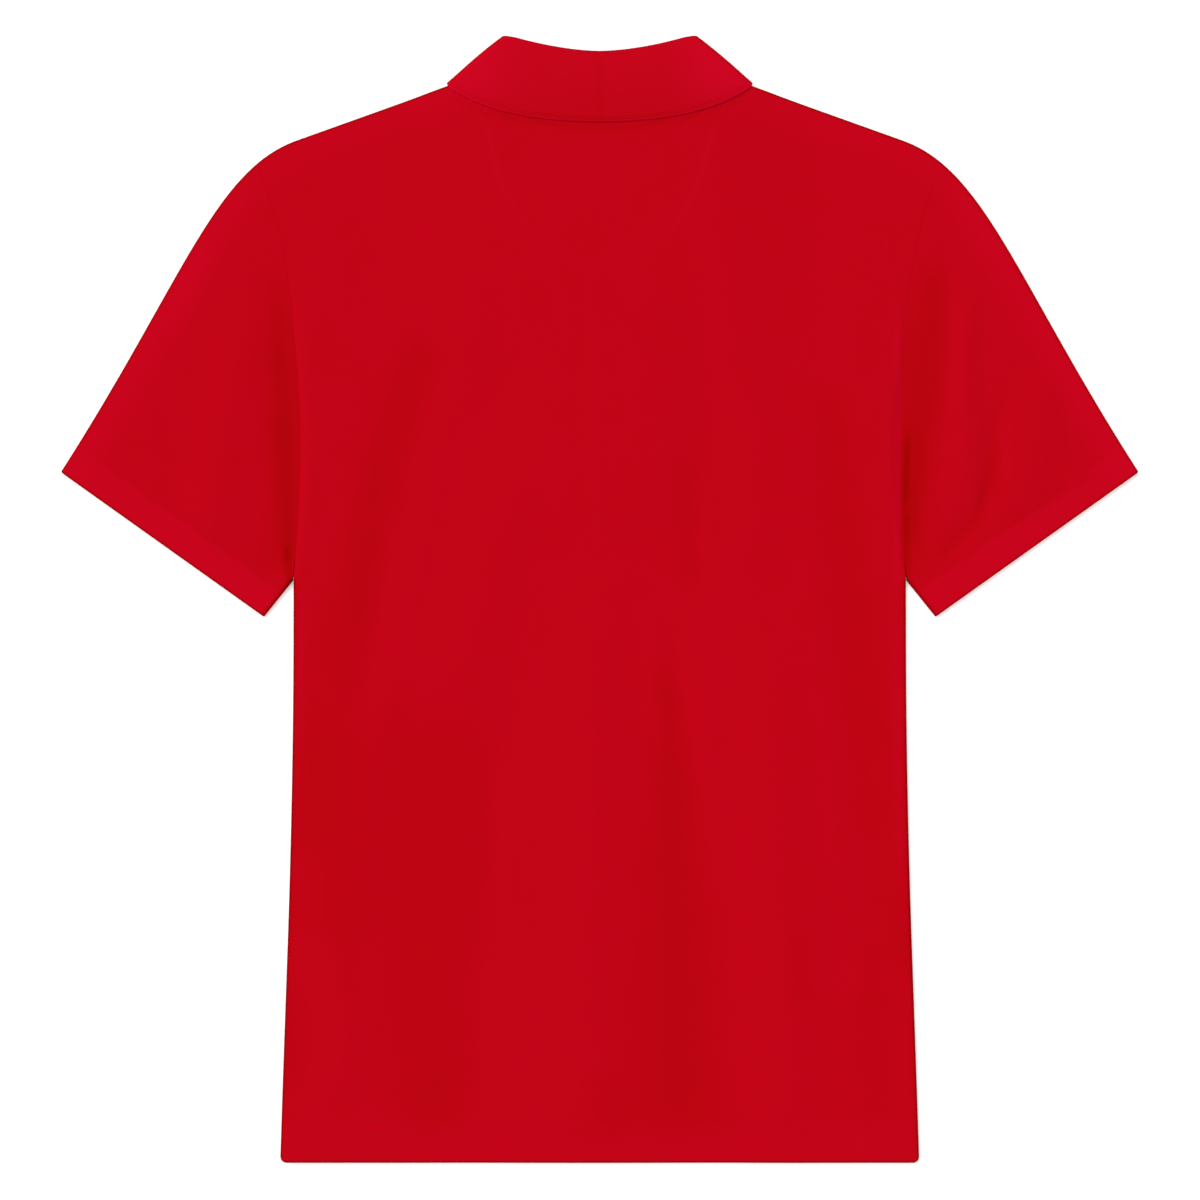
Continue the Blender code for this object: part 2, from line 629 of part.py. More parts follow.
def make_half_moon():
    """Half-round piece against the inside of the back neck."""
    shares = np.sin(np.linspace(-1, 1, HALF_MOON_COLUMNS) * math.pi / 2)
    plan = []
    for lift in np.linspace(0, 1, HALF_MOON_ROWS):
        row = []
        for share in shares:
            x = share * HALF_MOON_HALF
            low = HALF_MOON_CENTRE_Y - HALF_MOON_DEPTH * math.sqrt(max(1 - share * share, 0))
            under_neck = float(neck_back_y(min(abs(x), NECK_HALF))) - HALF_MOON_NECK_GAP
            high = min(under_neck, float(shoulder_y(abs(x))) - HALF_MOON_SHOULDER_GAP)
            row.append((x, low + (high - low) * lift))
        plan.append(row)
    plan = np.array(plan)
    over = back_mid(plan[..., 0], plan[..., 1]) - CLOTH / 2 - SEAM_GAP
    outer = np.concatenate([plan, over[..., None]], axis=-1)
    inner = outer - (0, 0, HALF_MOON_CLOTH)
    return wall_object("half_moon", outer, inner)


def placket_top_y():
    return float(neck_front_y(0)) - PLACKET_TOP_GAP


def make_placket_band(name, low_z, half):
    """A flat band that fills the slit of the front."""
    xs = np.array([-half, 0, half])
    ys = np.linspace(slit_end() + SEAM_GAP, placket_top_y(), PLACKET_ROWS)
    plan = np.stack(np.meshgrid(xs, ys), axis=-1)
    inner = np.concatenate([plan, np.full(plan.shape[:2] + (1,), low_z)], axis=-1)
    return wall_object(name, inner + (0, 0, CLOTH), inner)


def button_mesh(name):
    """A turned disc with a raised rim on its face, which points down."""
    profile = (
        # radius, height
        (0.0, BUTTON_THICK),
        (BUTTON_RADIUS - BUTTON_BEVEL, BUTTON_THICK),
        (BUTTON_RADIUS, BUTTON_THICK - BUTTON_BEVEL),
        (BUTTON_RADIUS, BUTTON_BEVEL),
        (BUTTON_RADIUS - BUTTON_BEVEL, 0.0),
        (BUTTON_RADIUS - BUTTON_RIM, 0.0),
        (BUTTON_RADIUS - BUTTON_RIM - BUTTON_DISH, BUTTON_DISH),
        (0.0, BUTTON_DISH),
    )
    mesh_data = bmesh.new()
    rings = []
    for radius, z in profile:
        ring = []
        for k in range(1 if radius == 0.0 else BUTTON_SIDES):
            angle = 2 * math.pi * k / BUTTON_SIDES
            point = (radius * math.cos(angle) * MM, radius * math.sin(angle) * MM, z * MM)
            ring.append(mesh_data.verts.new(point))
        rings.append(ring)
    for upper, lower in zip(rings[:-1], rings[1:]):
        for k in range(BUTTON_SIDES):
            n = (k + 1) % BUTTON_SIDES
            if len(upper) == 1:
                mesh_data.faces.new([upper[0], lower[n], lower[k]])
            elif len(lower) == 1:
                mesh_data.faces.new([upper[k], upper[n], lower[0]])
            else:
                mesh_data.faces.new([upper[k], upper[n], lower[n], lower[k]])
    return finish_object(name, mesh_data, BUTTON_RED, 0.35)


def button_hole_cutter(name, x, y):
    """Four pegs that cut the thread holes of one button."""
    mesh_data = bmesh.new()
    hole = BUTTON_HOLE * MM
    ring = BUTTON_HOLE_RING * MM
    thick = BUTTON_THICK * MM
    for k in range(4):
        angle = math.pi / 4 + k * math.pi / 2
        made = bmesh.ops.create_cone(
            mesh_data, cap_ends=True, segments=6, radius1=hole, radius2=hole, depth=2 * thick)
        shift = (ring * math.cos(angle), ring * math.sin(angle), thick / 2)
        bmesh.ops.translate(mesh_data, verts=made["verts"], vec=shift)
    mesh = bpy.data.meshes.new(name)
    mesh_data.to_mesh(mesh)
    mesh_data.free()
    cutter = bpy.data.objects.new(name, mesh)
    bpy.context.scene.collection.objects.link(cutter)
    cutter.location = (x * MM, y * MM, 0)
    cutter.hide_render = True
    cutter.display_type = "WIRE"
    return cutter


def make_buttons():
    for k in range(BUTTON_COUNT):
        y = placket_top_y() - BUTTON_FIRST_DOWN - k * BUTTON_PITCH
        button = button_mesh(f"button_{k + 1}")
        button.location = (0, y * MM, 0)
        holes = button.modifiers.new("thread_holes", "BOOLEAN")
        holes.operation = "DIFFERENCE"
        holes.object = button_hole_cutter(f"button_{k + 1}_holes", 0, y)


def through_corner(start, corner, end, t):
    """A smooth turn from start to end that passes through the corner half way."""
    pull = 2 * np.array(corner) - (np.array(start) + np.array(end)) / 2
    return (1 - t) ** 2 * np.array(start) + 2 * t * (1 - t) * pull + t * t * np.array(end)


def fold_back_y(x):
    return FOLD_MID_Y + FOLD_RISE * (x / FOLD_SIDE[0]) ** FOLD_CURVE


def fall_back_y(x):
    share = x / FALL_SIDE[0]
    rise = FALL_CURVE * share ** 2 + (1 - FALL_CURVE) * share ** 4
    return FALL_MID_Y + (FALL_SIDE[1] - FALL_EDGE_DROP - FALL_MID_Y) * rise


def collar_front_seam():
    """Plan of the collar's sewn edge on the front, from the side of the neck to the middle."""
    xs = [x for x in reversed(NECK_COLUMNS_FRONT[1:-1])] + [COLLAR_FRONT_GAP]
    edge = [(NECK_HALF, NECK_SIDE_Y)]
    edge += [(x, float(neck_front_y(max(x, NECK_COLUMNS_FRONT[1])))) for x in xs]
    seam = inset_path(np.array(edge), COLLAR_SEAM_GAP, (-0.6, 0.8))
    first = seam[0] + (seam[1] - seam[0]) * STAND_SIDE_START
    return np.vstack([first, seam[1:]])


def collar_sections():
    """Sections of the +X half: sewn edge, fold, free edge, and the angle turned from back to front."""
    sections = []
    neck_heights = neck_back_y(np.array(NECK_COLUMNS_BACK))
    for x in (*NECK_COLUMNS_BACK[:-1], COLLAR_LAST_COLUMN):
        share = x / NECK_HALF
        seam_y = float(np.interp(x, NECK_COLUMNS_BACK, neck_heights)) + COLLAR_SEAM_GAP
        fold_x = share * FOLD_SIDE[0]
        fall_x = share * FALL_SIDE[0]
        sections.append(((x, seam_y), (fold_x, fold_back_y(fold_x)), (fall_x, fall_back_y(fall_x)), 0.0))
    sections.append((STAND_SIDE_FROM, FOLD_SIDE_FROM, FALL_SIDE_FROM, 0.0))
    front_seam = collar_front_seam()
    run = np.concatenate([[0], np.cumsum(np.linalg.norm(np.diff(front_seam, axis=0), axis=1))])
    fold_start = np.array(FOLD_SIDE_TO)
    fold_end = np.array([COLLAR_FRONT_GAP, FOLD_FRONT_Y])
    fall_start = np.array(FALL_SIDE_TO)
    front = []
    for seam, share in zip(front_seam, run / run[-1]):
        angle = share * math.pi / 2
        straight = fold_start + (fold_end - fold_start) * share
        bowed = np.array([
            fold_end[0] + (fold_start[0] - fold_end[0]) * math.cos(angle),
            fold_start[1] + (fold_end[1] - fold_start[1]) * math.sin(angle),
        ])
        fall = fall_start + (np.array(COLLAR_POINT) - fall_start) * share
        front.append((tuple(seam), tuple((straight + bowed) / 2), tuple(fall), math.pi))
    turn = []
    for t in COLLAR_TURN:
        corners = zip(sections[-1][:3], (STAND_SIDE, FOLD_SIDE, FALL_SIDE), front[0][:3])
        seam, fold, fall = [tuple(through_corner(a, corner, b, t)) for a, corner, b in corners]
        turn.append((seam, fold, fall, math.pi * t))
    return sections + turn + front


def collar_mid_points():
    """Middle of the collar's wall: sections from the sewn edge over the fold to the free edge."""
    fold_angles = [math.pi * k / 4 for k in range(5)]
    stand_back_z = float(back_mid(0.0, neck_back_y(0.0)))
    leaf_z = COLLAR_CLOTH / 2
    stand_front_z = leaf_z + 2 * FOLD_RADIUS
    grid = []
    for seam, fold, fall, angle in collar_sections():
        swing = (1 + math.cos(angle)) / 2
        stand_z = stand_front_z + (stand_back_z - stand_front_z) * swing
        below_shoulder = min(fall[1], float(shoulder_y(fall[0])) - 2 * EDGE_ROLL)
        over_back = float(back_mid(fall[0], below_shoulder)) + FALL_LIFT
        fall_z = leaf_z + (over_back - leaf_z) * swing
        fold_z = leaf_z + FOLD_RADIUS + (stand_back_z - leaf_z) * swing
        seam_point = np.array([*seam, stand_z])
        fall_point = np.array([*fall, fall_z])
        fold_point = np.array([*fold, fold_z])
        outward = np.array([0.8 * math.sin(angle), 0.6 * math.sin(angle), math.cos(angle)])
        up = fold_point - (seam_point + fall_point) / 2
        up -= outward * (up @ outward)
        up /= np.linalg.norm(up)
        centre = fold_point - up * FOLD_RADIUS
        arc = [centre + FOLD_RADIUS * (math.sin(a) * up - math.cos(a) * outward) for a in fold_angles]
        line = [seam_point + (arc[0] - seam_point) * step for step in STAND_STEPS]
        line += arc
        crown = FALL_CROWN * max(math.cos(angle), 0.0)
        for step in FALL_STEPS:
            bulge = crown * math.sin(math.pi * step ** 0.8) * outward
            line.append(arc[-1] + (fall_point - arc[-1]) * step + bulge)
        grid.append(line)
    return np.array(grid)


def make_collar():
    half = collar_mid_points()
    mirrored = half[:0:-1] * (-1, 1, 1)
    middle = np.concatenate([mirrored, half], axis=0)
    along = np.gradient(middle, axis=0)
    across = np.gradient(middle, axis=1)
    normal = np.cross(along, across)
    normal /= np.linalg.norm(normal, axis=2)[..., None]
    outer = middle + normal * COLLAR_CLOTH / 2
    inner = middle - normal * COLLAR_CLOTH / 2
    return wall_object("collar", outer, inner, roughness=0.8)


def main():
    for old in list(bpy.data.objects):
        bpy.data.objects.remove(old, do_unlink=True)
    make_back()
    make_front()
    make_sleeve("sleeve_left", -1)
    make_sleeve("sleeve_right", 1)
    make_collar()
    make_half_moon()
    make_placket_band("placket_top", LEAF_LIFT, PLACKET_HALF - SEAM_GAP / 2)
    make_placket_band("placket_under", LEAF_LIFT + CLOTH + SEAM_GAP, PLACKET_HALF - 1)
    make_buttons()


main()
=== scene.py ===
import math

import bpy
import numpy as np
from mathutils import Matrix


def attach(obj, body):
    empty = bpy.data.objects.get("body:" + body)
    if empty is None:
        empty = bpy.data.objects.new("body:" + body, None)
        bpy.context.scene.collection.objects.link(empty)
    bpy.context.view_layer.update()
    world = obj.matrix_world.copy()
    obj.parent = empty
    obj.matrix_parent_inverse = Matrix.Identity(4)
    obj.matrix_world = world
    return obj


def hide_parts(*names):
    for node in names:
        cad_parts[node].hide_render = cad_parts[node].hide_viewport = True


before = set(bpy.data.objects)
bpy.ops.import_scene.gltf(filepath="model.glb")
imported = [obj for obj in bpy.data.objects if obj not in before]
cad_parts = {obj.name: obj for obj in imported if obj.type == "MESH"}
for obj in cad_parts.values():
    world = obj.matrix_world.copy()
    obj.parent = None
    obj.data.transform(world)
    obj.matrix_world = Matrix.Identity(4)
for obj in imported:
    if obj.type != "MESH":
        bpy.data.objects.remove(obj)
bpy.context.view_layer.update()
mm = 0.001        # all sizes below are in millimetres, +X to the photo's right, +Y to the collar
farAway = 50.0    # a distance that means: nothing near here
print("frame loaded:", sorted(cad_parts))


cloth = {
    "thick": 1.1,
    "roll": 1.6,          # radius over which the two layers turn into each other at a folded edge
    "halo": 0.1,
    "seam": 0.03,         # daylight left between two sewn edges
    "sewnEdge": 0.3,      # radius of a wall's edge where it is sewn to its neighbour
    "turnedEdge": 0.85,   # and where it is turned up, at the hem and the cuffs
    "leastFree": 0.08, "leastSewn": 0.88,    # share of the thickness that is left at the very edge
    "puff": 0.11, "puffRamp": 1.6, "turnExtra": 0.6, "turnRamp": 1.5, "rollShare": 0.9,    # hems and cuffs
    "edgeSteps": (1.0, 0.72, 0.48, 0.29, 0.15, 0.06, 0.0),
    "runOn": 10.0,        # how far the folded side is followed past the hem
}

# how many points each path is drawn through
pathPoints = {
    "shoulder": 9, "cap": 60, "side": 60, "hem": 260, "armhole": 120, "cuff": 400, "halfMoon": 160,
    "straight": 40,
}

body = {
    "hemY": -377.2, "hemCorner": 4.0, "band": 28.0, "puffLow": 5.0,
    "stitchRows": (18.8, 26.7), "grooveDepth": 0.05, "grooveWidth": 0.75,
    "grooveRows": (-1.2, -0.6, 0, 0.6, 1.2, 2),    # the mesh's rows about a groove, in widths of it
    "armpitX": 205.1, "armpitY": 13.0, "tipX": 229.3, "frontArmholeDeeper": 6.0,
    "neckHalf": 75.0, "dropBack": 20.5, "dropFront": 98.0, "curveBack": 2.2, "curveFront": 2.6,
    "collarX": 103.2, "shoulderY": 343.2, "shoulderSlope": -0.358,
    "lean": 3, "backStep": 3.3, "frontStep": 6.0, "hemSteps": 1.4, "firstRow": 2.4,
}

bodySides = (
    # height along the shirt, half width
    (-377.2, 214.1),
    (-322.0, 212.3),
    (-268.0, 210.4),
    (-201.0, 208.1),
    (-134.0, 206.4),
    (-67.0, 205.4),
    (13.0, 205.1),
)

armhole = (
    # height along the shirt, distance from the middle
    (13.0, 205.1),
    (64.0, 201.6),
    (110.0, 200.6),
    (173.0, 204.2),
    (223.0, 209.8),
    (262.0, 218.4),
    (296.0, 231.0),
)

sleeve = {
    "capX": 203.2, "capPull": 58.7, "cuffTop": (361.1, 85.3), "cuffPull": 150.6, "cuffAngle": 57.3,
    "cuffBottom": (224.9, -11.7), "cuffCorner": 1.6, "blend": 0.06, "underStart": 0.012, "tipGap": 0.4,
    "band": 21.5, "puffLow": 4.0, "turn": 36, "stitchRows": (15.8, 20.6), "ringStep": 3.4,
    "spansUpper": 62, "spansLower": 34, "seamSteps": 1.7,
    "cuffSteps": (3.4, 2.2, 1.4, 0.95, 0.6, 0.34, 0.16, 0.05, 0.0),
}


def ease(value):
    value = np.clip(value, 0.0, 1.0)
    return value * value * (3 - 2 * value)


def ramp(value, ends):
    # eased from 0 at the first end to 1 at the second
    start, end = ends
    return ease((value - start) / (end - start))


def tableColumn(table, index):
    return np.array([row[index] for row in table], dtype=float)


def smoothThrough(table, at):
    # a smooth curve through the rows of a table
    heights, values = tableColumn(table, 0), tableColumn(table, 1)
    slopes = np.gradient(values, heights)
    k = np.clip(np.searchsorted(heights, at) - 1, 0, len(heights) - 2)
    span = heights[k + 1] - heights[k]
    t = (at - heights[k]) / span
    start = (1 + 2 * t) * (1 - t) ** 2 * values[k] + t * (1 - t) ** 2 * span * slopes[k]
    return start + t * t * (3 - 2 * t) * values[k + 1] + t * t * (t - 1) * span * slopes[k + 1]


def sideX(y):
    return smoothThrough(bodySides, np.asarray(y, dtype=float))


def armholeX(y):
    return smoothThrough(armhole, np.clip(np.asarray(y, dtype=float), body["armpitY"], armhole[-1][0]))


def frontArmholeX(y):
    rise = (np.asarray(y, dtype=float) - body["armpitY"]) / (armhole[-1][0] - body["armpitY"])
    return armholeX(y) - body["frontArmholeDeeper"] * np.sin(math.pi * np.clip(rise, 0, 1))


def insetPath(points, distance, inward):
    # the path moved sideways; inward is roughly the way that it moves
    along = np.gradient(points, axis=0)
    along /= np.linalg.norm(along, axis=1)[:, None]
    across = np.stack([-along[:, 1], along[:, 0]], axis=1)
    if np.mean(across @ np.array(inward)) < 0:
        across = -across
    return points + across * distance


def shoulderAndSleeveTop():
    start = np.array([sleeve["capX"],
                      body["shoulderY"] + body["shoulderSlope"] * (sleeve["capX"] - body["collarX"])])
    slope = np.array([1.0, body["shoulderSlope"]]) / math.hypot(1.0, body["shoulderSlope"])
    angle = math.radians(sleeve["cuffAngle"])
    end = np.array(sleeve["cuffTop"])
    pullStart = start + sleeve["capPull"] * slope
    pullEnd = end - sleeve["cuffPull"] * np.array([math.cos(angle), -math.sin(angle)])
    t = np.linspace(0, 1, pathPoints["cap"])[1:, None]
    cap = (1 - t) ** 3 * start + 3 * (1 - t) ** 2 * t * pullStart
    cap += 3 * (1 - t) * t * t * pullEnd + t ** 3 * end
    neck = start + slope * (body["neckHalf"] - sleeve["capX"]) / slope[0]
    shoulder = np.linspace(neck, start, pathPoints["shoulder"])
    return insetPath(np.vstack([shoulder, cap]), cloth["thick"] / 2, (-0.4, -0.9))


topLine = shoulderAndSleeveTop()
neckSideY = float(np.interp(body["neckHalf"], topLine[:, 0], topLine[:, 1]))
tipY = float(np.interp(body["tipX"], topLine[:, 0], topLine[:, 1]))
underarmLine = insetPath(np.array([(body["armpitX"], body["armpitY"]), sleeve["cuffBottom"]]),
                         cloth["thick"] / 2, (0.7, 0.7))


def shoulderY(x):
    return np.interp(np.abs(x), topLine[:, 0], topLine[:, 1])


def neckBackY(x):
    return neckSideY - body["dropBack"] * (1 - (np.abs(x) / body["neckHalf"]) ** body["curveBack"])


def neckFrontY(x):
    return neckSideY - body["dropFront"] * (1 - (np.abs(x) / body["neckHalf"]) ** body["curveFront"])


def backTopY(x):
    x = np.abs(x)
    return np.where(x < body["neckHalf"], neckBackY(np.minimum(x, body["neckHalf"])), shoulderY(x))


def frontTopY(x):
    x = np.maximum(np.abs(x), placket["slitHalf"])
    return np.where(x < body["neckHalf"], neckFrontY(np.minimum(x, body["neckHalf"])), shoulderY(x))


def foldedEdges():
    # the side, the shoulder with the sleeve's top, and the underarm, each run on past its end
    y = np.linspace(body["armpitY"], body["hemY"] - cloth["runOn"], pathPoints["side"])
    side = np.stack([sideX(np.maximum(y, body["hemY"])) - cloth["thick"] / 2, y], axis=1)
    beyondCuff = topLine[-1] + (topLine[-1] - topLine[-2])
    belowCuff = underarmLine[1] + 0.5 * (underarmLine[1] - underarmLine[0])
    return [side, np.vstack([topLine, beyondCuff]), np.vstack([underarmLine, belowCuff])[::-1]]


edgePaths = foldedEdges()


def nearestEdge(x, y):
    # distance to the nearest folded edge, and the direction to it
    point = np.stack([np.abs(x), y], axis=-1)
    best = np.full(point.shape[:-1], np.inf)
    out = np.zeros_like(point)
    for path in edgePaths:
        for a, b in zip(path[:-1], path[1:]):
            along = b - a
            t = np.clip(((point - a) @ along) / (along @ along), 0, 1)
            towards = a + t[..., None] * along - point
            distance = np.linalg.norm(towards, axis=-1)
            outward = np.array([-along[1], along[0]]) / np.linalg.norm(along)
            beyond = towards @ outward < 0
            atEdge = (distance < cloth["halo"]) | beyond
            unit = towards / np.maximum(distance, cloth["halo"])[..., None]
            direction = np.where(atEdge[..., None], outward, unit)
            distance = np.where(beyond, np.maximum(distance - cloth["halo"], 0), distance)
            closer = distance < best
            best = np.where(closer, distance, best)
            out = np.where(closer[..., None], direction, out)
    return best, out * np.stack([np.where(x < 0, -1.0, 1.0), np.ones_like(best)], axis=-1)


folds = (
    # start x, start y, end x, end y, width at start, width at end, height
    (-112, 180, -190, -150, 24, 34, -1.2),
    (-160, 60, -196, -230, 22, 26, 1.2),
    (-160, -60, -172, -330, 40, 34, 1.5),
    (-66, -70, -92, -372, 30, 40, -1.5),
    (-6, -10, -8, -376, 30, 50, 1.7),
    (50, -30, 78, -376, 14, 42, -1.6),
    (112, -40, 132, -376, 30, 44, 1.7),
    (150, 140, 190, -240, 20, 26, -1.3),
    (-60, 90, -96, -60, 34, 40, 1.1),
    (96, 190, 108, 30, 30, 34, 1.1),
    (58, 95, 62, 10, 14, 18, -0.9),
    (-240, 190, -262, 40, 26, 32, 1.7),
    (246, 200, 244, 70, 12, 18, 1.6),
    (300, 150, 282, 60, 22, 26, 1.5),
    (266, 130, 262, 66, 12, 14, -1.0),
    (262, 66, 232, 32, 12, 12, -1.0),
)

creases = (
    # start x, start y, end x, end y, width at start, width at end, height
    (-4, 222, -5, 120, 5.9, 7.8, 0.19),
    (-5, 112, 1, 34, 7.8, 6.5, 0.16),
    (78, 216, 88, 160, 6.5, 7.8, 0.16),
    (90, 150, 99, 112, 7.8, 6.5, 0.15),
    (-11, 205, -12, 96, 9.1, 10.4, -0.10),
    (234, 219, 236, 157, 4.5, 5.9, -0.26),
    (239, 228, 240, 120, 7.8, 10.4, 0.21),
    (265, 129, 262, 108, 5.8, 6.9, -0.27),
    (262, 108, 264, 84, 6.9, 6.9, -0.32),
    (264, 84, 252, 50, 6.9, 5.8, -0.35),
    (252, 50, 229, 29, 5.8, 5.2, -0.32),
    (272, 112, 274, 74, 9.1, 9.1, 0.16),
    (-214, 182, -207, 96, 6.5, 7.8, -0.19),
    (-207, 92, -206, 34, 6.5, 6.5, -0.21),
    (-196, 196, -193, 60, 5.9, 6.5, 0.20),
    (195, 180, 193, 58, 6.5, 6.5, 0.21),
    (-232, 150, -246, 70, 11.7, 15.6, -0.16),
    (-298, 122, -276, 58, 13, 15.6, -0.14),
    (-330, 96, -318, 70, 11.7, 10.4, 0.14),
    (318, 118, 306, 62, 11.7, 15.6, -0.15),
    (336, 92, 330, 74, 10.4, 10.4, 0.14),
    (-184, 202, -178, 156, 7.8, 9.1, -0.16),
    (-112, 214, -100, 190, 9.1, 10.4, -0.12),
    (-132, 150, -150, 60, 10.4, 11.7, -0.15),
    (-60, -38, -56, -102, 7.8, 9.1, -0.19),
    (-72, -60, -80, -130, 7.8, 11.7, 0.15),
    (-128, -120, -136, -216, 11.7, 14.3, -0.14),
    (-112, -232, -104, -318, 13, 15.6, 0.16),
    (-40, -150, -46, -240, 10.4, 13, -0.12),
    (12, -288, 16, -350, 11.7, 16.9, -0.16),
    (34, -120, 40, -190, 9.1, 10.4, 0.14),
    (62, 92, 64, 40, 7.8, 9.1, -0.19),
    (74, 60, 76, -6, 7.8, 10.4, 0.14),
    (58, -62, 64, -150, 7.8, 11.7, -0.19),
    (96, -150, 104, -240, 10.4, 13, 0.16),
    (134, -218, 136, -272, 7.8, 10.4, -0.16),
    (152, -292, 158, -352, 10.4, 13, -0.12),
    (172, 96, 180, 10, 9.1, 10.4, -0.17),
    (184, -20, 190, -96, 9.1, 10.4, -0.15),
    (164, 40, 170, -60, 9.1, 10.4, 0.15),
    (-176, 40, -186, -40, 10.4, 10.4, -0.15),
    (-198, -140, -202, -228, 7.8, 9.1, -0.14),
    (201, -150, 205, -236, 7.8, 9.1, -0.14),
    (-190, 18, -168, 2, 6.5, 7.8, 0.12),
    (190, 20, 166, 4, 6.5, 7.8, 0.12),
)

shades = (
    # painted shade and light of the folds and seams: start x, start y, end x, end y, widths, change of tone
    (-116, 172, -152, 60, 24, 30, -0.022),
    (-152, 60, -178, -50, 28, 30, -0.026),
    (-178, -50, -200, -170, 30, 26, -0.02),
    (-182, -90, -178, -225, 40, 44, -0.018),
    (-98, -78, -102, -232, 46, 50, -0.022),
    (-142, -70, -140, -220, 44, 44, -0.014),
    (-118, -222, -112, -352, 44, 40, -0.028),
    (-196, -262, -206, -330, 22, 18, -0.012),
    (43, -42, 50, -190, 12, 40, -0.03),
    (50, -185, 54, -356, 42, 56, -0.032),
    (-2, -318, 2, -362, 24, 30, -0.012),
    (156, 140, 167, 24, 20, 24, -0.022),
    (167, 24, 184, -110, 24, 24, -0.026),
    (184, -110, 200, -250, 24, 20, -0.02),
    (178, -262, 186, -350, 36, 30, -0.014),
    (60, 93, 62, 6, 14, 12, -0.014),
    (134, -222, 136, -269, 14, 14, -0.012),
    (224, 222, 220, 120, 14, 17, -0.036),
    (216, 124, 208, 40, 16, 9, -0.04),
    (206.0, 112, 204.2, 64, 4.6, 5.0, -0.080),
    (204.6, 62, 206.4, 16, 4.4, 3.8, -0.064),
    (199.6, 186, 199.2, 16, 4.2, 4.2, 0.052),
    (273, 49, 334, 86, 4, 3, -0.024),
    (-216, 212, -214, 110, 10, 13, -0.024),
    (-214, 120, -209, 30, 13, 9, -0.034),
    (265, 127, 261, 108, 7, 9, -0.012),
    (262, 96, 252, 52, 9, 9, -0.018),
    (254, 54, 228, 28, 9, 8, -0.02),
    (-209.5, 36, -207.5, 8, 6, 4.5, -0.070),
    (-200.5, -10, -202, -180, 6, 6, 0.018),
    (199.5, -10, 201, -180, 6, 6, 0.018),
    (-262, 240, -290, 180, 16, 16, 0.012),
    (-168, -218, -168, -264, 16, 16, -0.015),
    (181, -230, 184, -272, 14, 14, -0.015),
    (264, 112, 266, 66, 6, 7, -0.017),
    (39, -68, 40, -110, 8, 9, 0.013),
    (-57, -172, -56, -204, 8, 8, -0.012),
)

tones = {
    # painted shade and light as changes of brightness, against 1, and the places between which they come in
    # or fade
    # painted shade and light that follows the creases, and painted shade in the armhole's valley
    "crease": 0.015, "valley": 0.03,
    "fallHalf": 100.0,    # half the width that the collar's fall covers
    "fallShadow": 0.060, "fallShadowAt": 1.8, "fallShadowWidth": 2.9, "fallShadowSides": 0.4,
    "fallLight": 0.100, "fallLightAt": -1.8, "fallLightWidth": 2.6,
    # painted highlight along the half-moon's ridge, stronger up its sides
    "moon": 0.010, "moonSides": 0.016, "moonSidesRamp": (225.0, 275.0), "moonWidth": 2.0, "moonTop": 20.0,
    "edge": 0.020, "sleeveEdge": 0.016, "sleeveRamp": 30.0,    # painted sheen along the shoulders and sleeves
    "edgeReach": (30.0, 2.0), "edgeAbove": (40.0, 100.0),
    # painted sheen on the turned-up bands of the hem and the cuffs
    "hem": 0.007, "hemReach": (30.0, 24.0),
    "cuff": 0.032, "cuffRamp": 3.0, "cuffTip": 0.6,
    "rim": 0.17, "rimReach": (1.9, 0.4),    # cloth that turns away at an edge looks darker
}

heights = {
    "frontMid": 0.55, "backMid": 3.7, "leafLift": 2.1, "ramp": 24.0, "leafClear": 14.0, "margin": 0.5,
    "foldFade": 26.0, "taperIn": (-0.12, 0.18), "taperOut": (1.12, 0.88),
    "tentBlend": 4, "lowest": -1.55, "highest": 1.75, "hemRelief": 1.25, "hemReliefReach": (56.0, 30.0),
    "hemFlat": 0.45, "hemEase": 60.0,
}

valley = {
    # the trough along the armhole's seam
    "depth": 1.5, "sleeveSide": 34.0, "bodySide": 4.0, "edgeFade": 8.0,
    "low": (7.0, 31.0), "high": (235.0, 145.0),
}

fine = {
    "ripple": 0.07,    # height of the faint waviness that a washed knit keeps
    "across": 11.3, "sway": 1.4, "swayPitch": 47.0, "along": 29.0, "alongStart": 0.7,
    "edgeFade": 9.0, "belowCollar": (316.0, 286.0), "besideCollar": (118.0, 138.0), "aboveHem": (6.0, 40.0),
}

tents = (
    # how the back rises over what lies under it: between which half widths, which heights, and how far
    ((90.0, 22.0), (15.0, 100.0), 2.0),
    ((150.0, 76.0), (112.0, 220.0), 3.05),
)

placket = {
    "slitHalf": 15.15, "slitRow": 122.0, "slitReach": 0.4, "slitSpans": 3, "half": 15.0, "bandHalf": 14.85,
    "topGap": 0.8, "lowZ": 2.1, "underZ": 3.5, "underHalf": 14.0, "firstDown": 12.0, "pitch": 54.0,
    "holeHalf": 7.2, "boxInset": 2.2, "lowGap": 0.3, "boxHigh": 10.0, "boxTop": 1.5, "rowStep": 2.6,
    "columnStep": 2.2, "edgeSteps": (0.0, 0.06, 0.16, 0.32, 0.55, 0.9),
}

halfMoon = {
    "centreY": 335.0, "half": 76.0, "depth": 112.0, "neckGap": 1.0, "shoulderGap": 7.0, "clear": 0.3,
    "thick": 1.0, "tone": -0.02, "stitchInset": 1.6, "ridge": 0.08, "ridgeWidth": 1.6, "ridgeHalf": 90.0,
    "stitchFrom": 193, "stitchTo": 347,    # degrees round the half-moon's middle
    "columns": 61, "lowSteps": (0, 0.002, 0.006, 0.014, 0.03), "evenSteps": (0.06, 0.96, 26),
    "highSteps": (0.985, 0.994, 0.998, 1),
}


slantedWaves = (
    # share, pitch across, pitch along, start
    (0.8, 19.0, -61.0, 2.1),
    (0.6, 7.1, 90.0, 0.0),
)


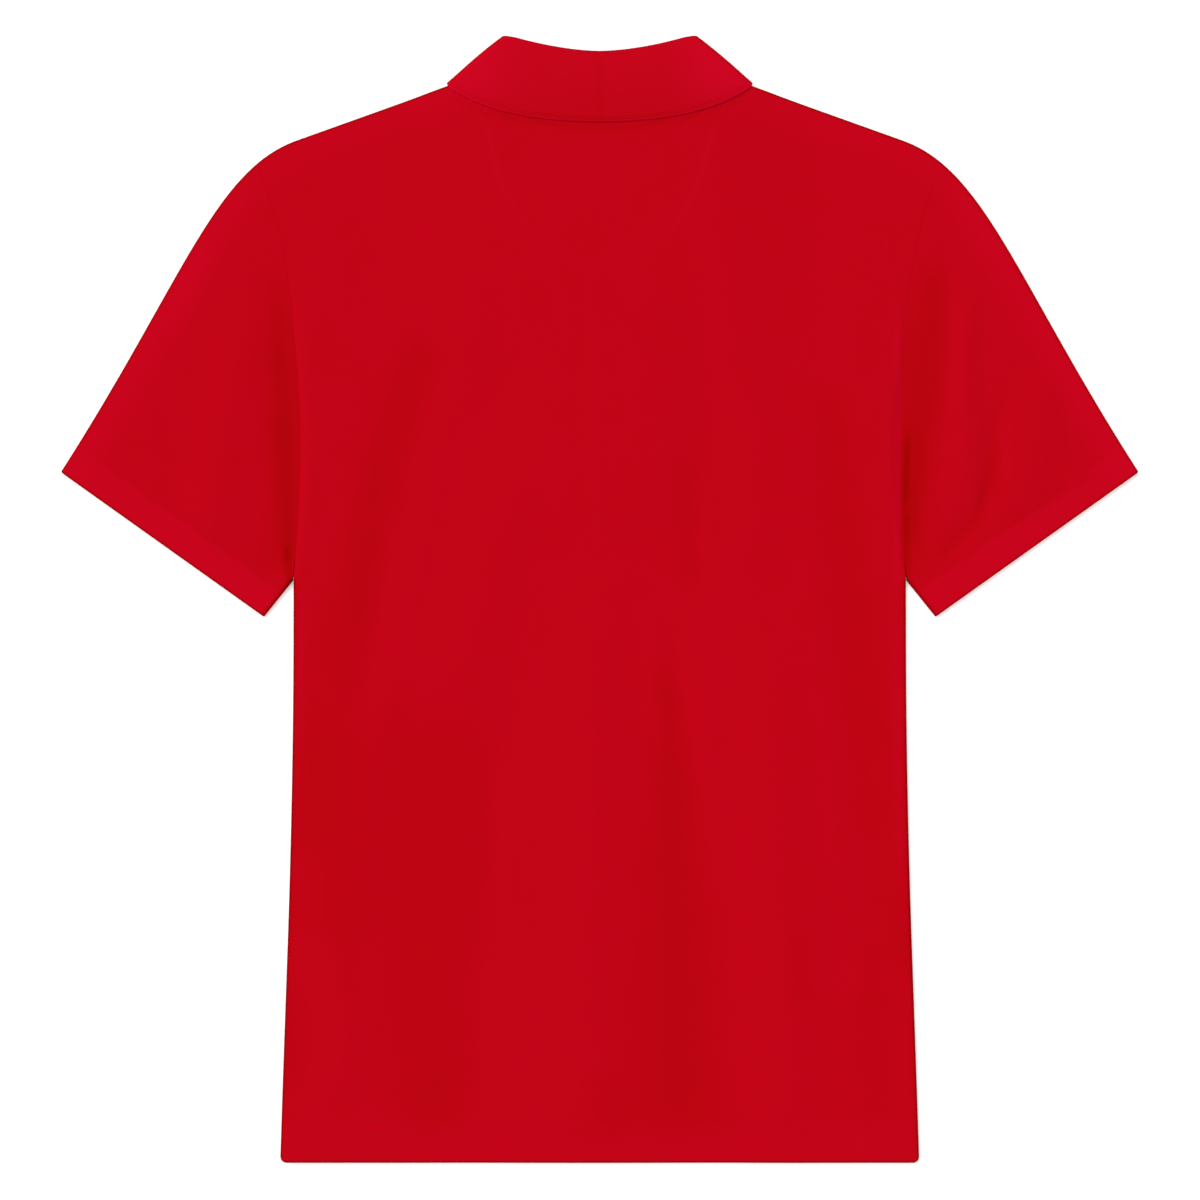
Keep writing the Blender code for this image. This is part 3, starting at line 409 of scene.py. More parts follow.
def linedUp(x, y, table):
    # low ridges and troughs from a table, each tapering at its ends
    height = np.zeros(np.shape(x))
    for x0, y0, x1, y1, width0, width1, rise in table:
        along = np.array([x1 - x0, y1 - y0], dtype=float)
        length = np.linalg.norm(along)
        along /= length
        dx, dy = x - x0, y - y0
        t = (dx * along[0] + dy * along[1]) / length
        across = np.abs(dx * along[1] - dy * along[0])
        width = width0 + (width1 - width0) * np.clip(t, 0, 1)
        taper = ramp(t, heights["taperIn"]) * ramp(t, heights["taperOut"])
        height += rise * taper * (1 - ease(across / width))
    return height


def ripple(x, y):
    sway = fine["sway"] * np.sin(y / fine["swayPitch"])
    waves = np.sin(x / fine["across"] + sway) * np.sin(y / fine["along"] + fine["alongStart"])
    for share, across, along, start in slantedWaves:
        waves += share * np.sin(x / across + y / along + start)
    return fine["ripple"] * waves


def armholeValley(x, y):
    away = np.abs(x) - armholeX(y)
    width = np.where(away > 0, valley["sleeveSide"], valley["bodySide"])
    along = ramp(y, valley["low"]) * ramp(y, valley["high"])
    return -valley["depth"] * along * (1 - ease(np.abs(away) / width))


def halfMoonGap(x, y):
    # distance, outwards, from the stitched edge of the half-moon
    along = (np.asarray(x) / halfMoon["half"]) ** 2 + ((y - halfMoon["centreY"]) / halfMoon["depth"]) ** 2
    return (np.sqrt(along) - 1) * (halfMoon["half"] + halfMoon["depth"]) / 2


def backMid(x, y, distance=None):
    # height of the middle of the back's wall; distance is to the nearest folded edge
    x, y = np.broadcast_arrays(np.asarray(x, dtype=float), np.asarray(y, dtype=float))
    if distance is None:
        distance, _ = nearestEdge(x, y)
    tent = np.zeros(x.shape)
    for sideEnds, lowEnds, top in tents:
        tent += (top * ramp(np.abs(x), sideEnds) * ramp(y, lowEnds)) ** heights["tentBlend"]
    rise = y - body["hemY"]
    nearHem = heights["hemFlat"] + (1 - heights["hemFlat"]) * ease(rise / heights["hemEase"])
    height = linedUp(x, y, folds) * ease(distance / heights["foldFade"]) * nearHem
    height += armholeValley(x, y) * ease(distance / valley["edgeFade"])
    lowest = heights["lowest"] + heights["hemRelief"] * ramp(rise, heights["hemReliefReach"])
    tent = tent ** (1 / heights["tentBlend"])
    return heights["backMid"] + tent + np.clip(height, lowest, heights["highest"])


def frontMid(x, y):
    x, y = np.broadcast_arrays(np.asarray(x, dtype=float), np.asarray(y, dtype=float))
    across = np.abs(x)
    reach, margin = heights["ramp"], heights["margin"]
    overPlacket = ease((placket["half"] + reach + margin - across) / reach)
    overPlacket = overPlacket * ease((y - slitEnd() + reach + margin) / reach)
    slope = (collar["fallSide"][1] - collar["point"][1]) / (collar["fallSide"][0] - collar["point"][0])
    pastPoint = np.maximum(across - collar["point"][0] - heights["leafClear"] / 2, 0)
    leafEdge = collar["point"][1] - heights["leafClear"] + slope * pastPoint
    overLeaf = ease((y - leafEdge + reach) / reach)
    return heights["frontMid"] + heights["leafLift"] * np.maximum(overPlacket, overLeaf)


def fineRelief(x, y, distance):
    # what the back's cloth adds to its plain fold surface: creases, waviness, the half-moon's edge
    clear = ramp(y, fine["belowCollar"]) + ramp(np.abs(x), fine["besideCollar"])
    fade = ease(distance / fine["edgeFade"]) * np.clip(clear, 0, 1) * ramp(y - body["hemY"], fine["aboveHem"])
    moonEdge = halfMoon["ridge"] * groove(halfMoonGap(x, y), halfMoon["ridgeWidth"])
    moonEdge = moonEdge * (np.abs(x) < halfMoon["ridgeHalf"]) * (y < halfMoon["centreY"])
    return (linedUp(x, y, creases) + ripple(x, y) + moonEdge) * fade


def rowLean(sideHeight):
    return ((sideHeight - body["hemY"]) / (tipY - body["hemY"])) ** body["lean"]


def slitEnd():
    edge = placket["slitHalf"]
    return float(placket["slitRow"] + (frontTopY(edge) - tipY) * rowLean(placket["slitRow"]))


print("outline and fold tables ready")


def cornerInset(distance, radius):
    left = radius - np.clip(distance, 0, radius)
    return radius - np.sqrt(radius * radius - left * left)


def roundedEdge(distance, radius):
    # share of the wall's thickness that is left this close to a free edge
    left = 1 - np.clip(distance / radius, 0, 1)
    return np.maximum(np.sqrt(1 - left * left), cloth["leastFree"])


def sewnEdge(distance):
    # the same for an edge that a seam holds flush with its neighbour
    return np.maximum(roundedEdge(distance, cloth["sewnEdge"]), cloth["leastSewn"])


def groove(distance, width):
    return np.exp(-(distance / width) ** 2)


def spread(start, end, step):
    count = max(1, math.ceil(abs(end - start) / step))
    return list(np.linspace(start, end, count + 1)[1:])


def pointsAt(*parts):
    return np.stack(np.broadcast_arrays(*parts), axis=-1)


def layerMiddle(x, y, upper):
    # middle of a layer's wall and the direction across it, rolled over at the folded edges
    distance, out = nearestEdge(x, y)
    high, low = backMid(x, y, distance), frontMid(x, y)
    middle = (high + low) / 2
    level = 1 - np.clip(distance / cloth["roll"], 0, 1)
    rise = np.sqrt(np.clip(1 - level * level, 0, 1))
    z = middle + (high - middle) * rise if upper else middle - (middle - low) * rise
    tilt = rise if upper else -rise
    across = np.concatenate([out * level[..., None], tilt[..., None]], axis=-1)
    parting = np.where(distance < cloth["halo"], cloth["seam"] / 2, 0.0) * (1 if upper else -1)
    return pointsAt(x, y, z + parting), across, distance


def hemRise(rise, part):
    # how much fuller the turned-up cloth of a hem or cuff is on its outer side
    return cloth["puff"] * ease((part["band"] - rise) / cloth["puffRamp"]) * ease(rise / part["puffLow"])


def turnedUp(rise, part, distance):
    # and how much it thickens the wall on its inner side, except where the wall rolls over
    extra = cloth["turnExtra"] * np.clip((part["band"] - rise) / cloth["turnRamp"], 0, 1)
    return extra * (distance > cloth["roll"] * cloth["rollShare"])


def rimShade(distance):
    return tones["rim"] * ramp(distance, tones["rimReach"])


# painted sheen along the upper folded edges: its share, from 0 to 1
def edgeSheen(y, distance):
    return ramp(distance, tones["edgeReach"]) * ramp(y, tones["edgeAbove"])


def fallOnBack(x, y):
    # the soft shadow below the collar's fall, and the light that reaches in under its edge
    pastFall = fallBackY(np.minimum(np.abs(x), tones["fallHalf"])) - y
    shadow = tones["fallShadow"] * groove(pastFall - tones["fallShadowAt"], tones["fallShadowWidth"])
    shadow = shadow * (1 - tones["fallShadowSides"] * (x / tones["fallHalf"]) ** 2)
    light = tones["fallLight"] * groove(pastFall - tones["fallLightAt"], tones["fallLightWidth"])
    return (light - shadow) * (np.abs(x) < tones["fallHalf"])


def toneAt(x, y, distance, upper):
    # brightness of the cloth, against 1: painted shade and light of its folds, creases and edges, and painted
    # sheen
    change = np.zeros(np.shape(x))
    if upper:
        # painted shade and light of the folds and along the creases
        change = change + linedUp(x, y, shades) + tones["crease"] * linedUp(x, y, creases)
        # painted shade in the armhole's valley, on the sleeve side
        change += tones["valley"] * armholeValley(x, y) * (np.abs(x) > armholeX(y))
        change += fallOnBack(x, y)
        # painted highlight along the half-moon's ridge
        moon = tones["moon"] + tones["moonSides"] * ramp(y, tones["moonSidesRamp"])
        onMoon = groove(halfMoonGap(x, y), tones["moonWidth"]) * (y < halfMoon["centreY"] - tones["moonTop"])
        change += moon * onMoon
        # painted sheen along the upper folded edges, stronger on the sleeves
        onSleeve = ease((np.abs(x) - armholeX(y)) / tones["sleeveRamp"])
        change += (tones["edge"] + tones["sleeveEdge"] * onSleeve) * edgeSheen(y, distance)
        # painted sheen on the hem's band
        change += tones["hem"] * ramp(y - body["hemY"], tones["hemReach"])
    return change - rimShade(np.minimum(distance, y - body["hemY"]))


def addObject(name, data, location=(0.0, 0.0, 0.0)):
    made = bpy.data.objects.new(name, data)
    bpy.context.scene.collection.objects.link(made)
    made.location = location
    return made


def smoothMesh(name, points, faces):
    mesh = bpy.data.meshes.new(name)
    mesh.from_pydata(points.tolist(), [], faces)
    mesh.shade_smooth()
    return addObject(name, mesh)


pointNumbers = {"tone": 0.0, "hemLine": farAway, "seamLine": farAway, "moonLine": farAway}


def clothPiece(name, sides, values, kept=None, closed=False):
    # one closed mesh, a wall of cloth between two grids of points, with numbers for its finish
    outer, inner = sides
    rows, columns = outer.shape[:2]
    i, j = np.meshgrid(np.arange(rows - 1), np.arange(columns if closed else columns - 1), indexing="ij")
    a, b = i * columns + j, i * columns + (j + 1) % columns
    c, d = b + columns, a + columns
    kept = np.ones(i.shape, dtype=bool) if kept is None else kept
    ringed = np.pad(kept, 1)
    if closed:
        ringed[1:-1, 0], ringed[1:-1, -1] = kept[:, -1], kept[:, 0]
    top = np.stack([a, b, c, d], axis=-1)[kept]
    below = rows * columns
    faces = [top, top[:, ::-1] + below]
    rims = ((a, b, ringed[:-2, 1:-1]), (b, c, ringed[1:-1, 2:]),
            (c, d, ringed[2:, 1:-1]), (d, a, ringed[1:-1, :-2]))
    for p, q, neighbour in rims:
        faces.append(np.stack([q, p, p + below, q + below], axis=-1)[kept & ~neighbour])

    used, faces = np.unique(np.concatenate(faces), return_inverse=True)
    faces = faces.reshape(-1, 4)
    points = np.concatenate([outer.reshape(-1, 3), inner.reshape(-1, 3)])[used] * mm
    corner = points[faces]
    cross = np.cross(corner[:, 1] - corner[:, 0], corner[:, 2] - corner[:, 0])
    cross += np.cross(corner[:, 2] - corner[:, 0], corner[:, 3] - corner[:, 0])
    if np.sum(cross * corner.mean(axis=1)) < 0:
        faces = faces[:, ::-1]    # so that they face outwards
    made = smoothMesh(name, points, faces.tolist())
    for key, plain in pointNumbers.items():
        grid = np.broadcast_to(values.get(key, plain), (rows, columns)).ravel()
        attribute = made.data.attributes.new(key, "FLOAT", "POINT")
        attribute.data.foreach_set("value", np.concatenate([grid, grid])[used].astype(np.float32))
    return made


def wallSides(middle, across, thick, thin, relief=0.0, extra=0.0):
    # the outer and the inner points of a wall, from its middle and the way across it
    outer = middle + across * (thick / 2 * thin + relief)[..., None]
    return outer, middle - across * ((thick / 2 + extra) * thin)[..., None]


# front and back panels

def bodyRows(step):
    rises = [body["hemSteps"] * share for share in reversed(cloth["edgeSteps"])]
    rises += [body["firstRow"], body["hemCorner"]]
    width = body["grooveWidth"]
    for line in body["stitchRows"]:
        rises += spread(rises[-1], line - 2 * width, step)
        rises += [line + k * width for k in body["grooveRows"]]
    rows = [body["hemY"] + rise for rise in rises]
    rows += spread(rows[-1], body["armpitY"], step)
    rows.append(body["armpitY"] + cloth["roll"])
    rows += spread(rows[-1], tipY - cloth["roll"], step)
    return np.array(rows + [tipY - cloth["roll"] * share for share in cloth["edgeSteps"][1:]])


def bodyPlan(rows, step, columns, topY, armholeAt):
    # the grid of points seen from above, and how far each is from the armhole's seam
    spans = math.ceil((body["armpitX"] - body["neckHalf"]) / step)
    plan, free = [], []
    for height in rows:
        if height <= body["armpitY"]:
            half = float(sideX(height)) - cloth["thick"] / 2
            half -= float(cornerInset(height - body["hemY"], body["hemCorner"]))
        else:
            half = float(armholeAt(height)) - cloth["seam"] / 2
        inner = half - cloth["roll"]
        right = list(columns) + [columns[-1] + (inner - columns[-1]) * (k + 1) / spans for k in range(spans)]
        right += [half - cloth["roll"] * share for share in cloth["edgeSteps"][1:]]
        xs = np.array([-x for x in reversed(right[1:])] + right)
        stretch = (body["tipX"] - body["neckHalf"]) / (half - body["neckHalf"])
        pastNeck = np.abs(xs) - body["neckHalf"]
        across = np.where(pastNeck > 0, body["neckHalf"] + pastNeck * stretch, np.abs(xs))
        plan.append(pointsAt(xs, height + (topY(across) - tipY) * rowLean(height)))
        free.append(half - np.abs(xs) if height > body["armpitY"] else np.full(len(xs), farAway))
    return np.array(plan), np.array(free)


def bodyPanel(name, step, columns, topY, armholeAt, upper, slitSpans=None):
    rows = bodyRows(step)
    plan, free = bodyPlan(rows, step, columns, topY, armholeAt)
    x, y = plan[..., 0], plan[..., 1]
    middle, across, distance = layerMiddle(x, y, upper)

    toNeck = np.hypot(topY(np.abs(x)) - y, np.maximum(np.abs(x) - body["neckHalf"], 0))
    thin = roundedEdge(toNeck, cloth["thick"] / 2) * sewnEdge(free)
    kept = None
    if slitSpans:
        toSlit = np.abs(np.abs(x) - placket["slitHalf"])
        toSlit = np.where(y > slitEnd() - placket["slitReach"], toSlit, farAway)
        thin = thin * roundedEdge(toSlit, cloth["thick"] / 2)
        centre = x.shape[1] // 2
        slitFrom = int(np.argmin(np.abs(rows - placket["slitRow"])))
        kept = np.ones((x.shape[0] - 1, x.shape[1] - 1), dtype=bool)
        kept[slitFrom:, centre - slitSpans:centre + slitSpans] = False
    rise = y - body["hemY"]
    thin = thin * roundedEdge(rise, cloth["turnedEdge"])
    onTop = ease(distance / cloth["roll"])
    lines = sum(groove(rise - line, body["grooveWidth"]) for line in body["stitchRows"])
    relief = -body["grooveDepth"] * lines * onTop
    values = {
        "tone": toneAt(x, y, distance, upper),
        "hemLine": rise - sum(body["stitchRows"]) / 2,
        "seamLine": np.where(y > body["armpitY"] + topstitch["start"],
                             armholeAt(y) - np.abs(x) - topstitch["fromSeam"], farAway),
    }
    if upper:
        relief = relief + fineRelief(x, y, distance) + hemRise(rise, body) * onTop
        values["moonLine"] = np.where(y < halfMoon["centreY"],
                                      halfMoonGap(x, y) + halfMoon["stitchInset"], farAway)
    sides = wallSides(middle, across, cloth["thick"], thin, relief, turnedUp(rise, body, distance))
    return clothPiece(name, sides, values, kept)


topstitch = {
    "fromSeam": 7.0, "start": 6.0, "pitch": 3.0, "length": 2.45, "width": 0.34, "height": 0.13,
    "sink": 0.04, "skew": 4.0,
}

# columns of the panels' grids from the middle to beside the neck, closer together at a free edge
neckColumns = [0.0] + spread(0.0, 72.0, body["backStep"]) + [73.2, 74.1, 74.6, 75.0]
slitColumns = list(np.linspace(0, placket["slitHalf"], placket["slitSpans"] + 1)) + [15.35, 15.7, 16.3, 17.5]
slitColumns += spread(17.5, 66.0, body["frontStep"]) + [68.0, 70.0, 71.5, 72.8, 73.8, 74.5, 75.0]


def makePanels():
    back = bodyPanel("backCloth", body["backStep"], neckColumns, backTopY, armholeX, True)
    front = bodyPanel("frontCloth", body["frontStep"], slitColumns, frontTopY, frontArmholeX, False,
                      placket["slitSpans"])
    print("panels:", len(back.data.vertices), "and", len(front.data.vertices), "points")
    return back, front


# sleeves

def sampled(path, run, at):
    # points along a path at the given places on its run
    return pointsAt(*[np.interp(at, run, column) for column in path.T])


def alongPath(path, share):
    steps = np.linalg.norm(np.diff(path, axis=0), axis=1)
    return sampled(path, np.concatenate([[0], np.cumsum(steps)]) / steps.sum(), share)


def sleeveEdges():
    tip = np.array([float(armholeX(tipY)) + cloth["seam"] / 2, tipY])
    topEdge = np.vstack([tip, topLine[topLine[:, 0] > body["tipX"] + sleeve["tipGap"]]])
    underEdge = underarmLine.copy()
    underEdge[0] += (underEdge[1] - underEdge[0]) * sleeve["underStart"]
    return topEdge, underEdge


def sleevePlan(shares, steps, armholeAt):
    topEdge, underEdge = sleeveEdges()
    length = np.linalg.norm(topEdge[-1] - (body["tipX"], tipY))
    whole = np.array(shares)
    span = np.linalg.norm(alongPath(topEdge, whole) - alongPath(underEdge, whole), axis=-1)[:, None]
    inset = np.array([value * cloth["roll"] for kind, value in steps])
    v = np.zeros((len(shares), len(steps)))
    for k, (kind, value) in enumerate(steps):
        v[:, k] = {"top": inset[k] / span[:, 0], "span": value, "under": 1 - inset[k] / span[:, 0]}[kind]
    setBack = cornerInset(np.minimum(v, 1 - v) * span, sleeve["cuffCorner"])
    share = np.minimum(whole[:, None], 1 - setBack / length)
    a, b = alongPath(topEdge, share), alongPath(underEdge, share)
    height = topEdge[0, 1] + (underEdge[0, 1] - topEdge[0, 1]) * v
    gap = cloth["seam"] / 2
    shift = (topEdge[0, 0] - float(armholeAt(topEdge[0, 1])) - gap) * ease(1 - v / sleeve["blend"])
    shift += (underEdge[0, 0] - float(armholeAt(underEdge[0, 1])) - gap) * ease(1 - (1 - v) / sleeve["blend"])
    atArmhole = pointsAt(armholeAt(height) + gap + shift, height)
    v, share = v[..., None], share[..., None]
    start = (1 - v) * topEdge[0] + v * underEdge[0]
    plan = (1 - v) * a + v * b + (1 - share) * (atArmhole - start)
    return plan, share[..., 0] * length


def cuffDistance(x, y):
    topEdge, underEdge = sleeveEdges()
    along = (underEdge[-1] - topEdge[-1]) / np.linalg.norm(underEdge[-1] - topEdge[-1])
    return (np.abs(x) - topEdge[-1, 0]) * along[1] - (y - topEdge[-1, 1]) * along[0]


def sleeveSteps(spans):
    # across one layer: close together at both folded edges, even between them
    steps = [("top", step) for step in reversed(cloth["edgeSteps"])]
    steps += [("span", k / spans) for k in range(1, spans)]
    return steps + [("under", step) for step in cloth["edgeSteps"]]


def makeSleeve(name, side):
    length = math.dist(sleeve["cuffTop"], (body["tipX"], tipY))
    shares = [sleeve["seamSteps"] * share / length for share in reversed(cloth["edgeSteps"])]
    atCuff = [1 - rise / length for rise in sleeve["cuffSteps"]]
    shares += spread(shares[-1], atCuff[0], sleeve["ringStep"] / length) + atCuff[1:]
    upperPlan, upperRun = sleevePlan(shares, sleeveSteps(sleeve["spansUpper"]), armholeX)
    lowerPlan, lowerRun = sleevePlan(shares, sleeveSteps(sleeve["spansLower"])[1:-1], frontArmholeX)
    layers = []
    for plan, run, upper in ((upperPlan, upperRun, True), (lowerPlan[:, ::-1], lowerRun[:, ::-1], False)):
        x, y = plan[..., 0] * side, plan[..., 1]
        middle, across, distance = layerMiddle(x, y, upper)
        middle[..., 2] -= np.where(distance < cloth["halo"], cloth["seam"] / 2, 0.0) * (1 if upper else -1)
        toCuff = cuffDistance(x, y)
        relief = np.zeros(x.shape)
        if upper:
            relief = fineRelief(x, y, np.minimum(distance, toCuff / 2))
            relief += hemRise(toCuff, sleeve) * ease(distance / cloth["roll"])
        thin = sewnEdge(run) * roundedEdge(toCuff, cloth["turnedEdge"])
        extra = turnedUp(toCuff, sleeve, distance)
        # painted sheen on the cuff's band, less where the edge sheen already lightens it
        cuffSheen = tones["cuff"] * ease((sleeve["band"] - toCuff) / tones["cuffRamp"])
        cuffSheen = cuffSheen * (1 - tones["cuffTip"] * edgeSheen(y, distance))
        tone = toneAt(x, y, distance, upper) + cuffSheen - rimShade(toCuff)
        hemLine = toCuff - sum(sleeve["stitchRows"]) / 2
        layers.append((*wallSides(middle, across, cloth["thick"], thin, relief, extra), tone, hemLine))
    outer, inner, tone, hemLine = [np.concatenate(grids, axis=1) for grids in zip(*layers)]
    return clothPiece(name, (outer, inner), {"tone": tone, "hemLine": hemLine}, closed=True)


# collar

collar = {
    "thick": 1.3, "seamGap": 0.45, "frontGap": 1.5, "foldRadius": 0.95, "foldMidY": 365.8,
    "foldRise": 11.4, "foldCurve": 1.72, "foldFrontY": 288.0,
    "foldSide": (64.4, 375.7), "foldSideFrom": (59.9, 375.5), "foldSideTo": (62.0, 373.4),
    "fallMidY": 319.3, "fallSide": (102.2, 345.0),
    "fallSideFrom": (99.9, 341.6), "fallSideTo": (100.9, 342.2),
    "point": (60.0, 255.0), "crown": 1.6, "crownSkew": 0.8, "lift": 1.6, "edgeDrop": 2.2,
    "curve": 0.58, "sideways": (0.8, 0.6),    # the way out of the cloth half-way round the neck
    "standSide": (73.8, 355.4), "standSideFrom": (69.8, 351.2), "standSideStart": 0.3, "lastColumn": 66.0,
    "seamFrom": 73.0, "fallRow": -12, "middleDent": 0.06, "dentWidth": 2.4, "edgeFade": 3.0,
    "waviness": 0.06, "waveAcross": 13.0, "waveAlong": 9.0, "waveStart": 0.6, "waveFade": 6.0,
    "topFacing": (0.2, 0.8), "topZ": (6.0, 9.0),    # what counts as the top of the fall
    "edgeSag": 0.7, "edgeDroop": 0.28, "droopWidth": 3.0,    # the fall's edge settles on the back
    "backColumns": 27, "turnColumns": 10, "frontStep": 3.0, "fallRows": 20,
    "frontEnd": (1.5, 1.05, 0.7, 0.42, 0.22, 0.09, 0.0),
    "fallEnd": (1.35, 0.95, 0.62, 0.36, 0.18, 0.07, 0.0),
    "standSteps": (0.0, 0.004, 0.011, 0.025, 0.05), "standStep": 0.13, "standTop": 0.96, "foldSteps": 11,
}

collarTones = {
    # painted shade and light on the collar, against 1
    "plain": 0.014, "dent": 0.020, "dentWidth": 3.0,
    "middle": 0.012, "middleWidth": 44.0, "middleReach": (346.0, 326.0),
    "leftCorner": 0.042, "rightCorner": 0.060, "cornerX": (42.0, 84.0), "cornerY": (324.0, 348.0),
    "edgeShadow": 0.105, "shadowWidth": 2.3, "edgeLight": 0.230, "lightWidth": 0.75,
    "turnedIn": (-0.35, -0.05), "turnedOut": (0.6, 0.99), "turnedZ": (4.0, 6.0),
}


def throughCorner(start, corner, end, t):
    pull = 2 * corner - (start + end) / 2
    return (1 - t) ** 2 * start + 2 * t * (1 - t) * pull + t * t * end


def foldBackY(x):
    return collar["foldMidY"] + collar["foldRise"] * (x / collar["foldSide"][0]) ** collar["foldCurve"]


def fallBackY(x):
    share = x / collar["fallSide"][0]
    rise = collar["curve"] * share ** 2 + (1 - collar["curve"]) * share ** 4
    return collar["fallMidY"] + (collar["fallSide"][1] - collar["edgeDrop"] - collar["fallMidY"]) * rise


def collarFrontSeam():
    corners = [collar["seamFrom"]] + spread(collar["seamFrom"], placket["slitHalf"], collar["frontStep"])
    edge = [(body["neckHalf"], neckSideY)]
    edge += [(x, float(neckFrontY(max(x, placket["slitHalf"])))) for x in corners + [collar["frontGap"]]]
    seam = insetPath(np.array(edge), collar["seamGap"], (-0.6, 0.8))
    first = seam[0] + (seam[1] - seam[0]) * collar["standSideStart"]
    return np.vstack([first, seam[1:]])


def sidePoints(ending):
    return np.array([collar[part + ending] for part in ("stand", "fold", "fall")])


def collarSections():
    # +X half: for each section its sewn edge, fold and free edge, and the angle turned from back to front
    x = np.linspace(0, collar["lastColumn"], collar["backColumns"])
    foldX, fallX = [x / body["neckHalf"] * collar[part][0] for part in ("foldSide", "fallSide")]
    back = np.stack([pointsAt(x, neckBackY(x) + collar["seamGap"]), pointsAt(foldX, foldBackY(foldX)),
                     pointsAt(fallX, fallBackY(fallX))], axis=1)
    towardsSide = np.linspace(back[-1], sidePoints("SideFrom"), 4)[1:]
    back = np.concatenate([back, towardsSide])

    seamPath = collarFrontSeam()
    total = np.linalg.norm(np.diff(seamPath, axis=0), axis=1).sum()
    atEnd = [1 - rise / total for rise in collar["frontEnd"]]
    share = np.array([0.0] + spread(0.0, atEnd[0], collar["frontStep"] / total) + atEnd[1:])[:, None]
    quarter = share * math.pi / 2
    (startX, startY), (endX, endY) = collar["foldSideTo"], (collar["frontGap"], collar["foldFrontY"])
    straight = np.hstack([startX + (endX - startX) * share, startY + (endY - startY) * share])
    bowed = np.hstack([endX + (startX - endX) * np.cos(quarter), startY + (endY - startY) * np.sin(quarter)])
    fallStart = np.array(collar["fallSideTo"])
    fall = fallStart + (np.array(collar["point"]) - fallStart) * share
    front = np.stack([alongPath(seamPath, share[:, 0]), (straight + bowed) / 2, fall], axis=1)

    t = np.linspace(0, 1, collar["turnColumns"] + 2)[1:-1]
    turn = throughCorner(back[-1], sidePoints("Side"), front[0], t[:, None, None])
    angles = np.concatenate([np.zeros(len(back)), math.pi * t, np.full(len(front), math.pi)])
    toEnd = np.concatenate([np.full(len(back) + len(turn), farAway), (1 - share[:, 0]) * total])
    return np.concatenate([back, turn, front]), angles, toEnd


def collarMiddle(sections, angles):
    # middle of the collar's wall, each section from the sewn edge over the fold to the free edge
    ends = collar["fallEnd"]
    standSteps = list(collar["standSteps"])
    standSteps += spread(standSteps[-1], collar["standTop"], collar["standStep"])
    foldAngles = np.linspace(0, math.pi, collar["foldSteps"])
    standBackZ = float(backMid(0.0, neckBackY(0.0)))
    leafZ = collar["thick"] / 2
    radius = collar["foldRadius"]
    standFrontZ = leafZ + 2 * radius
    grid, freeWay = [], []
    for (seam, fold, fall), angle in zip(sections, angles):
        swing = (1 + math.cos(angle)) / 2
        belowShoulder = min(fall[1], float(shoulderY(fall[0])) - 2 * cloth["roll"])
        overBack = float(backMid(fall[0], belowShoulder)) + collar["lift"]
        seamPoint = np.array([*seam, standFrontZ + (standBackZ - standFrontZ) * swing])
        fallPoint = np.array([*fall, leafZ + (overBack - leafZ) * swing])
        foldPoint = np.array([*fold, leafZ + radius + (standBackZ - leafZ) * swing])
        outward = np.array([*(part * math.sin(angle) for part in collar["sideways"]), math.cos(angle)])
        up = foldPoint - (seamPoint + fallPoint) / 2
        up -= outward * (up @ outward)
        up /= np.linalg.norm(up)
        centre = foldPoint - up * radius
        arc = [centre + radius * (math.sin(a) * up - math.cos(a) * outward) for a in foldAngles]
        line = [seamPoint + (arc[0] - seamPoint) * step for step in standSteps] + arc
        toFall = fallPoint - arc[-1]
        reach = np.linalg.norm(toFall)
        fallSteps = list(np.linspace(0, 1 - ends[0] / reach, collar["fallRows"])[1:])
        fallSteps += [1 - end / reach for end in ends[1:]]
        crown = collar["crown"] * max(math.cos(angle), 0.0)
        for step in fallSteps:
            bulge = crown * math.sin(math.pi * step ** collar["crownSkew"]) * outward
            left = float(roundedEdge((1 - step) * reach, collar["thick"] / 2))
            droop = collar["edgeDroop"] * groove((1 - step) * reach, collar["droopWidth"])
            bulge[2] -= (collar["edgeSag"] * (1 - left) + droop) * swing
            line.append(arc[-1] + toFall * step + bulge)
        grid.append(line)
        toSewn = [step * np.linalg.norm(arc[0] - seamPoint) for step in standSteps] + [farAway] * len(arc)
        freeWay.append(toSewn + [(1 - step) * reach for step in fallSteps])
    return grid, freeWay


def collarTone(x, y, z, free, facing, onTop):
    # facing is how far the cloth there faces up, from -1 to 1
    shade = collarTones
    # painted shade along the middle dent and over the lower middle
    tone = shade["plain"] - shade["dent"] * groove(x, shade["dentWidth"]) * onTop
    tone -= shade["middle"] * groove(x, shade["middleWidth"]) * ramp(y, shade["middleReach"])
    # upper corners lighter, the right more than the left
    corner = np.where(x > 0, shade["rightCorner"], shade["leftCorner"])
    tone += corner * ramp(np.abs(x), shade["cornerX"]) * ramp(y, shade["cornerY"])
    edgeShadow = shade["edgeShadow"] * groove(free, shade["shadowWidth"])
    tone -= edgeShadow * (1 - tones["fallShadowSides"] * (x / tones["fallHalf"]) ** 2) * onTop
    tone += shade["edgeLight"] * groove(free, shade["lightWidth"])
    # painted shade where the cloth turns away at its edges
    turned = ramp(facing, shade["turnedIn"]) * (1 - ramp(facing, shade["turnedOut"]))
    return tone - tones["rim"] * turned * ramp(z, shade["turnedZ"]) * ease(free / collar["edgeFade"])


